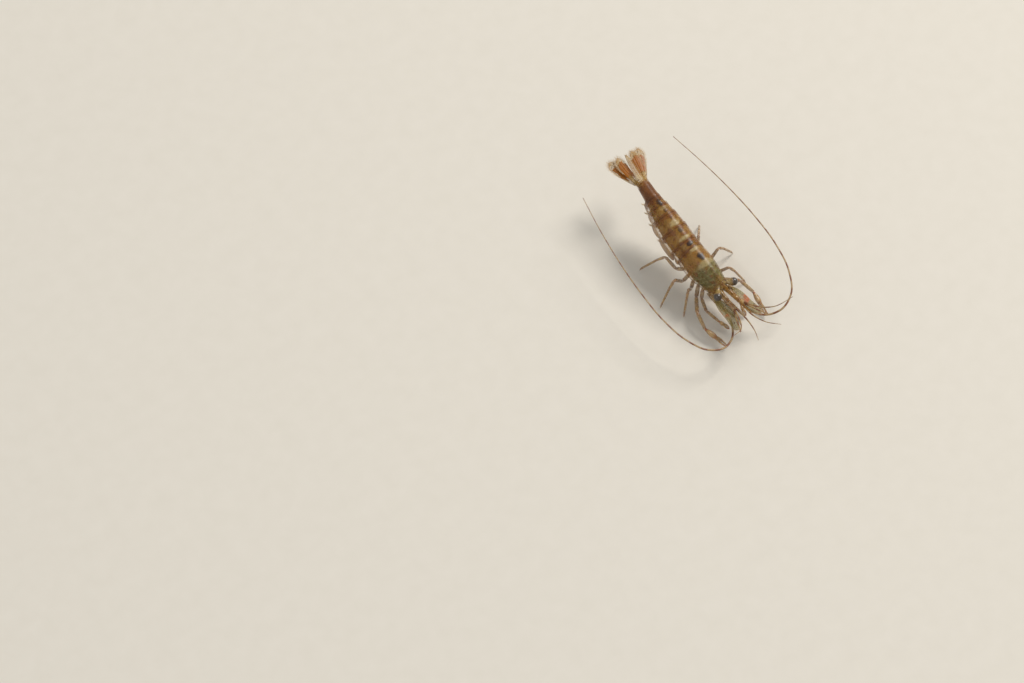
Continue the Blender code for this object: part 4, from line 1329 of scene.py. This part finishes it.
# %% The mouth limbs and the walking legs
# Place, across and up of each hip, and the lengths of the articles past it
HIPS = ((3.4, 1.65, -4.8), (4.9, 1.7, -4.85), (6.5, 1.75, -4.9), (8.1, 1.75, -4.9), (9.7, 1.7, -4.8))
WALKING_ARTICLES = {
    3: (2.1, 4.4, 2.2, 4.6, 1.3), 4: (2.1, 4.6, 2.5, 5.2, 1.3), 5: (2.2, 4.8, 2.8, 6.4, 1.3)
}
WALKING_WIDTHS = (0.62, 0.46, 0.42, 0.34, 0.27, 0.21, 0.05)
MOUTH_LIMB = (
    (2.3, 0.7, -4.5), (1.0, 1.0, -4.95), (-1.7, 1.15, -4.75), (-4.4, 1.05, -4.0), (-6.5, 0.9, -3.3)
)
LIMB_LINES = {}


def hip_of(number, side):
    """A point inside the chest where a leg starts, and its hip."""
    place, across, up = HIPS[number - 1]
    return body_run(SIDES[side], ((place, across - 0.75, up + 0.5), (place, across, up)))


def leg_joints(number, side):
    """Joints of a walking leg from hip to foot."""
    inside, hip = hip_of(number, side)
    ischium, merus, carpus, propodus, dactyl = WALKING_ARTICLES[number]
    foot = FEET[number, side].copy()
    level = ((foot - hip) * Vector((1, 1, 0))).normalized()
    first = hip + (level * 0.94 - UP * 0.34) * ischium
    line = foot - first
    shin = (carpus + propodus + dactyl) * 0.985
    turn = math.acos((merus**2 + line.length**2 - shin**2) / (2 * merus * line.length))
    rise = turn + math.asin(line.z / line.length)
    flat = (line * Vector((1, 1, 0))).normalized()
    knee = first + (flat * math.cos(rise) + UP * math.sin(rise)) * merus
    down = (foot - knee).normalized()
    bow = (flat - down * flat.dot(down)).normalized()
    wrist = knee + down * carpus + bow * 0.35
    ankle = foot - down * dactyl + bow * 0.25
    foot.z = 0.05
    return [inside, hip, first, knee, wrist, ankle, foot]


for side, sign in SIDES.items():
    name = f"mouth_limb_{side}"
    LIMB_LINES[name] = body_run(sign, MOUTH_LIMB)
    limb_piece(name, LIMB_LINES[name], (0.5, 0.40, 0.34, 0.30, 0.12), f"maxilliped_{side}", flat=0.8)
    for number in WALKING_ARTICLES:
        name = f"leg_{number}_{side}"
        LIMB_LINES[name] = leg_joints(number, side)
        limb_piece(name, LIMB_LINES[name], WALKING_WIDTHS, f"pereopod_{number}_{side}", bulge=0.08)
tell(("mouth", "leg"))
print("feet at z, mm:", [round(joints[-1].z, 2) for name, joints in LIMB_LINES.items() if "leg" in name])

# %% [markdown]
# ## The mouth
# Between the feelers and the legs lies the mouth. A smooth upper lip hangs over a pair of stout jaws
# with dark cutting edges, each with a small jointed feeler of its own. Soft leaves cover them from
# behind, and a pair of short mouth limbs folds in from the sides, with a slim swimming branch outside
# each. They are eggs, leaves, spikes and small limbs, joined in one piece.

# %% The mouth parts
FACE_LOBES = (  # (place, up), half sizes, darkness: between the eyes, between the feelers, ridge, upper lip
    ((-0.25, 1.1), (0.42, 0.95, 0.3), 0.1), ((-0.5, -1.0), (0.3, 0.8, 0.3), 0.2),
    ((-0.22, -1.7), (0.34, 1.2, 0.26), 0.5), ((-0.1, -2.15), (0.34, 0.26, 0.5), 0.1),
    ((0.1, -2.8), (0.46, 0.52, 0.46), 0.55),
)
JAW_TEETH = 5
JAW_FEELER = ((0.3, 0.85, -2.85), (-0.25, 0.9, -2.75), (-0.6, 0.6, -2.85), (-0.62, 0.2, -3.1))
INNER_LIMB = (
    (1.9, 1.15, -4.35), (0.9, 1.35, -4.2), (-0.35, 1.2, -3.8), (-0.95, 0.75, -3.45), (-0.7, 0.3, -3.5)
)
SWIMMING_BRANCH = ((0, 0, 0), (-1.3, 0.3, 0.3), (-2.6, 0.5, 0.8), (-3.9, 0.55, 1.1))
mouth_leaf_width = curve((0, 0.2), (0.5, 0.34), (0.9, 0.26), (1, 0.1))


def make_mouth():
    """Lips, jaws, leaves and the inner mouth limbs."""
    bm = new_bm()
    turned = body_way(0.5)
    ahead, left, up = turned(-1, 0, 0), turned(0, 1, 0), turned(0, 0, 1)
    tilt = (ahead * 0.8 - up * 0.6, left, ahead * 0.6 + up * 0.8)
    for (place, height), sizes, dark in FACE_LOBES:
        lobe(bm, body(place, 0, height), tilt, sizes, (1, dark, 0))
    for side, sign in SIDES.items():
        lobe(bm, body(-0.12, sign * 0.72, -2.3), tilt, (0.26, 0.26, 0.26), (1, 0.9, 0), 16, 10)
        lobe(bm, body(0.4, sign * 0.62, -3.25), tilt, (0.52, 0.42, 0.58), (1, 0.1, 0))
        for k in range(JAW_TEETH):
            root = body(0.12 * k, sign * 0.30, -3.42 - 0.09 * k)
            spike(bm, root, ahead * 0.14 - left * (sign * 0.24) - up * 0.12, 0.10, (1, 1, 0))
        limb(bm, body_run(sign, JAW_FEELER), (0.16, 0.15, 0.13, 0.05), sides=12)
        way = (ahead - left * (sign * 0.28) - up * 0.1).normalized()
        for *stop, length in ((1.5, 0.75, -3.95, 1.15), (1.9, 0.8, -4.3, 1.25)):
            plan = (*body_run(sign, [stop]), way, left * sign, length, mouth_leaf_width, mouth_leaf_width)
            leaf(bm, plan, 0.16, SCALE, 12, 22)
        LIMB_LINES[f"mouth_inner_{side}"] = body_run(sign, INNER_LIMB)
        limb(bm, LIMB_LINES[f"mouth_inner_{side}"], (0.30, 0.29, 0.26, 0.24, 0.10), sides=14, flat=0.8)
        for root in ((1.5, 1.6, -4.2), (2.0, 1.55, -4.55)):
            run = body_run(sign, [np.add(root, step).tolist() for step in SWIMMING_BRANCH])
            whip(bm, run, 0.15, 0.035, step=0.12, sides=8)
    finish_piece("mouth_parts", bm, LIMB_FINISH, "limb", "thorax")


make_mouth()
tell("mouth_parts")

# %% [markdown]
# ## Legs with pincers
# The first two pairs of legs end in pincers. The second pair is the longer and stouter one, held out
# in front. Each pincer is a palm with a fixed and a moving finger, toothed where they meet.

# %% The legs with pincers
PINCER_LEGS = {  # number: half widths, half width of the palm, and the route past the hip
    1: ((0.55, 0.46, 0.40, 0.33, 0.29), 0.45,
        ((2.1, 2.95, -5.7), (-1.0, 4.3, -5.1), (-4.3, 3.4, -6.1), (-6.9, 2.6, -6.7))),
    2: ((0.58, 0.48, 0.44, 0.40, 0.36), 0.62,
        ((3.1, 3.7, -5.5), (-0.2, 6.5, -4.4), (-4.0, 7.4, -5.4), (-10.0, 6.2, -6.2))),
}
FINGERS = (  # (share of the length, mm to the side), then half widths as shares of the palm's
    (((0, 0), (0.12, 0), (0.3, 0), (0.46, 0), (0.56, -0.12), (0.68, -0.26), (0.86, -0.24), (0.995, -0.06)),
     ((0.08, 0.62), (0.25, 1.0), (0.42, 0.96), (0.53, 0.60), (0.7, 0.38), (0.88, 0.25)), 0.26),
    (((0.42, 0.08), (0.50, 0.24), (0.62, 0.34), (0.80, 0.33), (0.92, 0.22), (1.0, 0.06)),
     ((0.25, 0.44), (0.6, 0.34), (0.85, 0.22)), None),
)
FINGER_STEPS = 34
CLAW_TEETH = (0.66, 0.74, 0.82)  # shares of the length of the claw
CLAW_LINES = []


def make_claw(number, side, wrist, tip, palm):
    """A palm with its fixed finger, the moving finger, and the teeth between them."""
    way, length = (tip - wrist).normalized(), (tip - wrist).length + 0.15
    guide = Vector((-SIDES[side], 0, 0))
    aside = (guide - way * guide.dot(way)).normalized()
    start = wrist + way * 0.02
    bm = new_bm()
    for path, shape, root_width in FINGERS:
        root_width = root_width or 0.34 * palm
        width = curve((0, root_width), *((share, part * palm) for share, part in shape), (1, 0.05))
        knots = [start + way * (length * share) + aside * offset for share, offset in path]
        stops = [
            (point, along, width(share), (share * length, bell(share, 1.0, 0.22) + bell(share, 0, 0.1), 0))
            for share, point, along in smooth_path(knots, FINGER_STEPS)
        ]
        rope(bm, stops, aside, 14, 0.82)
    for share in CLAW_TEETH:
        for edge in (-1, 1):
            root = start + way * (length * share) + aside * (edge * 0.17)
            spike(bm, root, aside * (edge * -0.12), 0.05, (length * share, 0.8, 0))
    CLAW_LINES.append([start, start + way * length])
    finish_piece(f"pincer_{number}_{side}", bm, CLAW_FINISH, "claw", f"claw_{number}_{side}")


for side, sign in SIDES.items():
    for number, (widths, palm, route) in PINCER_LEGS.items():
        *joints, tip = hip_of(number, side) + body_run(sign, route)
        LIMB_LINES[f"leg_{number}_{side}"] = joints
        limb_piece(f"leg_{number}_{side}", joints, widths, f"pereopod_{number}_{side}")
        make_claw(number, side, joints[-1], tip, palm)
tell("pincer")

# %% [markdown]
# ## Swimmerets
# Under each of the first five rings hangs a pair of paddles. A paddle is a stout stalk and two leaves,
# the outer one broader, folded back at rest and fringed with hairs that make the blade when it beats.

# %% The swimmerets
SWIMMERET_LENGTHS = (3.9, 5.0, 5.0, 4.5, 4.0)
PADDLES = (  # share of the half width it stands aside, lean, twist, share of the length, its shape
    (0.272, 0.10, 0.65, 0.70, ((0, 0.26), (0.3, 0.52), (0.65, 0.62), (0.9, 0.44), (1, 0.22))),
    (-0.288, -0.10, -0.35, 0.62, ((0, 0.22), (0.3, 0.38), (0.65, 0.46), (0.9, 0.34), (1, 0.18))),
)


def make_swimmerets(number, side):
    """A stalk with its two leaves."""
    sign, length = SIDES[side], SWIMMERET_LENGTHS[number - 1]
    place = sum(SOMITE_ENDS[number - 1 : number + 1]) / 2 - 0.3
    room = half_width(place + 2) * 0.88 - 0.65
    half = room / 2 - 0.08
    turned = body_way(place)
    way, across, back = turned(0.66, 0, -0.75).normalized(), turned(0, sign, 0), turned(1, 0, 0)
    root = body(place, sign * (room / 2 + 0.05), belly(place) - 0.35)
    end = root + way * (length * 0.36)
    joints, widths = (root - way * 0.5, root + way * 0.15, end), (half * 0.55, half * 0.62, half * 0.52)
    name, node = f"paddle_stalk_{number}_{side}", f"pleopod_{number}_{side}"
    limb_piece(name, joints, widths, node, PADDLE_FINISH, "swimmeret", guide=across, flat=0.55)
    bm = new_bm()
    for aside, lean, twist, share, shape in PADDLES:
        heading = (way + across * lean).normalized()
        turned_out = across + back * twist
        spread = (turned_out - heading * turned_out.dot(heading)).normalized()
        width = curve(*((v, size * half * 1.15) for v, size in shape))
        plan = (end + across * (half * aside) - way * 0.2, heading, spread, length * share, width, width)
        leaf(bm, plan, 0.22, PADDLE, 12, 26, cup=0.04)
        FRINGED["paddle"].append(plan)
    finish_piece(f"paddle_{number}_{side}", bm, BLADE_FINISH, "swimmeret", node)


for side in SIDES:
    for number in range(1, 6):
        make_swimmerets(number, side)
tell("paddle_1")

# %% [markdown]
# ## Fringes
# The blades of the tail, the scales and the paddles would leak water without their fringes of fine
# hairs, and bristles stand on the mouth limbs, the claw tips and the walking legs. A few thousand hairs
# are cheap if they are made together: a wide grid with every second column taken out leaves one strip
# for each hair, one extrusion makes them all solid, and a formula lays each strip in its place.
# Each hair also gets a small patch of its own on a map, where its root lies along its blade.

# %% The hair finish and the strips
HAIR_ROWS = 4


def mix_hair():
    """Hair, warmer at its root."""
    mix = Finish("hair", Coat_Weight=0.2, Coat_Roughness=0.3, Roughness=0.5)
    along, warm, _ = mix.marks()
    root = mix.mix(warm * 2, (196, 170, 122), (126, 80, 44))
    return mix.done(mix.mix(along * 0.8, root, (208, 184, 138)))


HAIR_FINISH = mix_hair()


def hair_piece(name, hairs, slot, *replaces):
    """One joined piece of hairs. Each is (root, way, bend, length, half width, warmth, patch)."""
    bm = new_bm()
    columns = 2 * len(hairs) - 1
    bmesh.ops.create_grid(bm, x_segments=columns, y_segments=HAIR_ROWS, size=0.5)
    gaps = [f for f in bm.faces if int((f.calc_center_median().x + 0.5) * columns) % 2]
    bmesh.ops.delete(bm, geom=gaps, context="FACES")
    second = set(new_verts(bmesh.ops.extrude_face_region(bm, geom=bm.faces[:], use_keep_orig=True)["geom"]))
    mark = bm.verts.layers.float_vector["mark"]
    patches = {}
    for v in bm.verts:
        column, t = round((v.co.x + 0.5) * columns), v.co.y + 0.5
        root, way, bend, length, half, warm, patch = hairs[column // 2]
        side, layer = 2 * (column % 2) - 1, 1 if v in second else -1
        across, thin = way.cross(bend).normalized(), half * (1 - 0.9 * t)
        bent = 0.3 * length * t * t + 0.7 * layer * thin
        v.co = root + way * (length * t) + bend * bent + across * (side * thin)
        v[mark] = Vector((t, warm, 0))
        patches[v] = (patch[0] + 0.0015 * side, patch[1] + 0.003 * t)
    chart = bm.loops.layers.uv.new("OFBake")
    for face in bm.faces:
        for loop in face.loops:
            loop[chart].uv = patches[loop.vert]
    finish_piece(name, bm, HAIR_FINISH, slot, *replaces)


# %% Fringes of the blades
LAST, TIP_HAIRS = 0.999, 16  # the last place for a hair, just short of the tip, and how many stand there


def rim_point(plan, sign, v):
    """A point on the outer (1) or inner (-1) rim of a leaf."""
    start, way, spread, span, outer, inner = plan
    return start + way * (span * v) + spread * (sign * (outer if sign > 0 else inner)(v) * tip_rounding(v))


def rim_hairs(plans, starts, length, half, step, seed, warm):
    """Hairs round the rims of leaves, from a share of their length on the outer and the inner side."""
    dice = random.Random(seed)
    hairs = []
    for number, plan in enumerate(plans):
        _, way, spread, span, *_ = plan
        face = way.cross(spread).normalized()
        for row, (sign, low) in enumerate(zip((1, -1), starts)):
            stops = np.arange(low, TIP_START, step / span).tolist()
            stops += [1 - TIP_PART * (1 - t) ** 1.6 for t in np.linspace(0, 1, TIP_HAIRS).tolist()]
            for k, v in enumerate(stops):
                v = min(v + dice.uniform(-0.2, 0.2) * step / span, LAST)
                tangent = rim_point(plan, sign, min(v + 0.004, LAST)) - rim_point(plan, sign, v - 0.004)
                out = tangent.normalized().cross(face)
                if not (out.dot(spread) * sign > 0 or v > 0.985 and out.dot(way) > 0):
                    out = -out
                heading = (out * 0.75 + way * 0.65 + face * dice.uniform(-0.08, 0.08)).normalized()
                patch = ((number + 0.1 + 0.8 * v) / len(plans), 0.06 + 0.5 * row + 0.04 * (k % 10))
                grown = length * dice.uniform(0.8, 1.1) * (0.6 + 0.4 * ease(v, low, low + 0.2))
                root = rim_point(plan, sign, v) - out * 0.06
                hairs.append((root, heading, face, grown, half, warm, patch))
    return hairs


FRINGES = (  # piece, starts on both sides, length, half width, spacing, seed, warmth, slot, nodes
    ("tail", (0.45, 0.6), 0.85, 0.022, 0.085, 11, 0.3, "tail_blade", "uropod_exopod"),
    ("scale", (0.93, 0.08), 0.8, 0.022, 0.07, 12, 0.3, "tail_blade", "antennal_scale"),
    ("paddle", (0.3, 0.3), 0.7, 0.015, 0.13, 13, 0.05, "swimmeret", "pleopod_1"),
)
for name, *shape, slot, node in FRINGES:
    hair_piece(f"{name}_fringe", rim_hairs(FRINGED[name], *shape), slot, f"{node}_left", f"{node}_right")
tell(tuple(f"{name}_fringe" for name in FRINGED))


# %% Bristles of the limbs
def line_hairs(joints, low, high, count, length, turns, wide, seed, home, taper=0.0):
    """Bristles in rows along a jointed line; low and high are shares of its length, wide its half width."""
    dice = random.Random(seed)
    spans = [(b - a).length for a, b in zip(joints, joints[1:])]
    hairs = []
    for k in range(count):
        share = low + (high - low) * (k + dice.uniform(0.1, 0.9)) / count
        left, i = share * sum(spans), 0
        while i < len(spans) - 1 and left > spans[i]:
            left, i = left - spans[i], i + 1
        way = (joints[i + 1] - joints[i]).normalized()
        turn = math.radians(turns[k % len(turns)] + dice.uniform(-12, 12))
        guide = UP - way * way.z
        guide = guide.normalized() if guide.length > 0.1 else way.orthogonal().normalized()
        out = guide * math.cos(turn) + way.cross(guide) * math.sin(turn)
        root = joints[i] + way * left + out * ((wide - taper * share) * 0.7)
        patch = (home[0] + 0.09 * (share - low) / max(high - low, 0.01), home[1] + 0.004 * (k % 10))
        heading = (out * 0.7 + way * 0.75).normalized()
        hairs.append((root, heading, out, length * dice.uniform(0.7, 1.1), 0.022, 0.5, patch))
    return hairs


BRISTLES = (  # how the limb's name starts, from, to, how many, length, turns in degrees, half width
    ("mouth_inner", 0.45, 0.99, 70, 0.34, (150, 180, 210, 120), 0.22),
    ("mouth_limb", 0.25, 0.99, 190, 0.75, (150, 180, 210, 240, 120), 0.3),
    (("leg_3", "leg_4", "leg_5"), 0.62, 0.93, 34, 0.32, (180, 140, 220, 0), 0.24),
    ("leg", 0.3, 0.95, 26, 0.4, (180, 0, 90, 270), 0.34),
)
CLAW_BRISTLES = (0.55, 0.97, 60, 0.4, (0, 180, 90, 270, 45, 225), 0.462)
SCENT_HAIRS = (0.3, 0.97, 60, 0.6, (200, 215), 0.16)
bristles = []
for place, (name, joints) in enumerate(sorted(LIMB_LINES.items())):
    rule = next(rule for starts, *rule in BRISTLES if name.startswith(starts))
    bristles += line_hairs(joints, *rule, place, (0.02 + 0.12 * (place % 8), 0.05 + 0.12 * (place // 8)))
for place, line in enumerate(CLAW_LINES):
    bristles += line_hairs(line, *CLAW_BRISTLES, 40 + place, (0.02 + 0.12 * place, 0.6), 0.42)
for place, points in enumerate(SCENT_WHIPS.values()):
    bristles += line_hairs(points[::6], *SCENT_HAIRS, 50 + place, (0.02 + 0.12 * place, 0.75))
hair_piece("limb_bristles", bristles, "limb", "maxilliped_left", "maxilliped_right")
tell("limb_bristles")

# %% [markdown]
# ## The end
# The count of all the triangles is printed. The finer model has to stay inside the box of the solids,
# apart from a hair's breadth.

# %% Count the triangles
print("triangles in all:", sum(PIECES.values()))
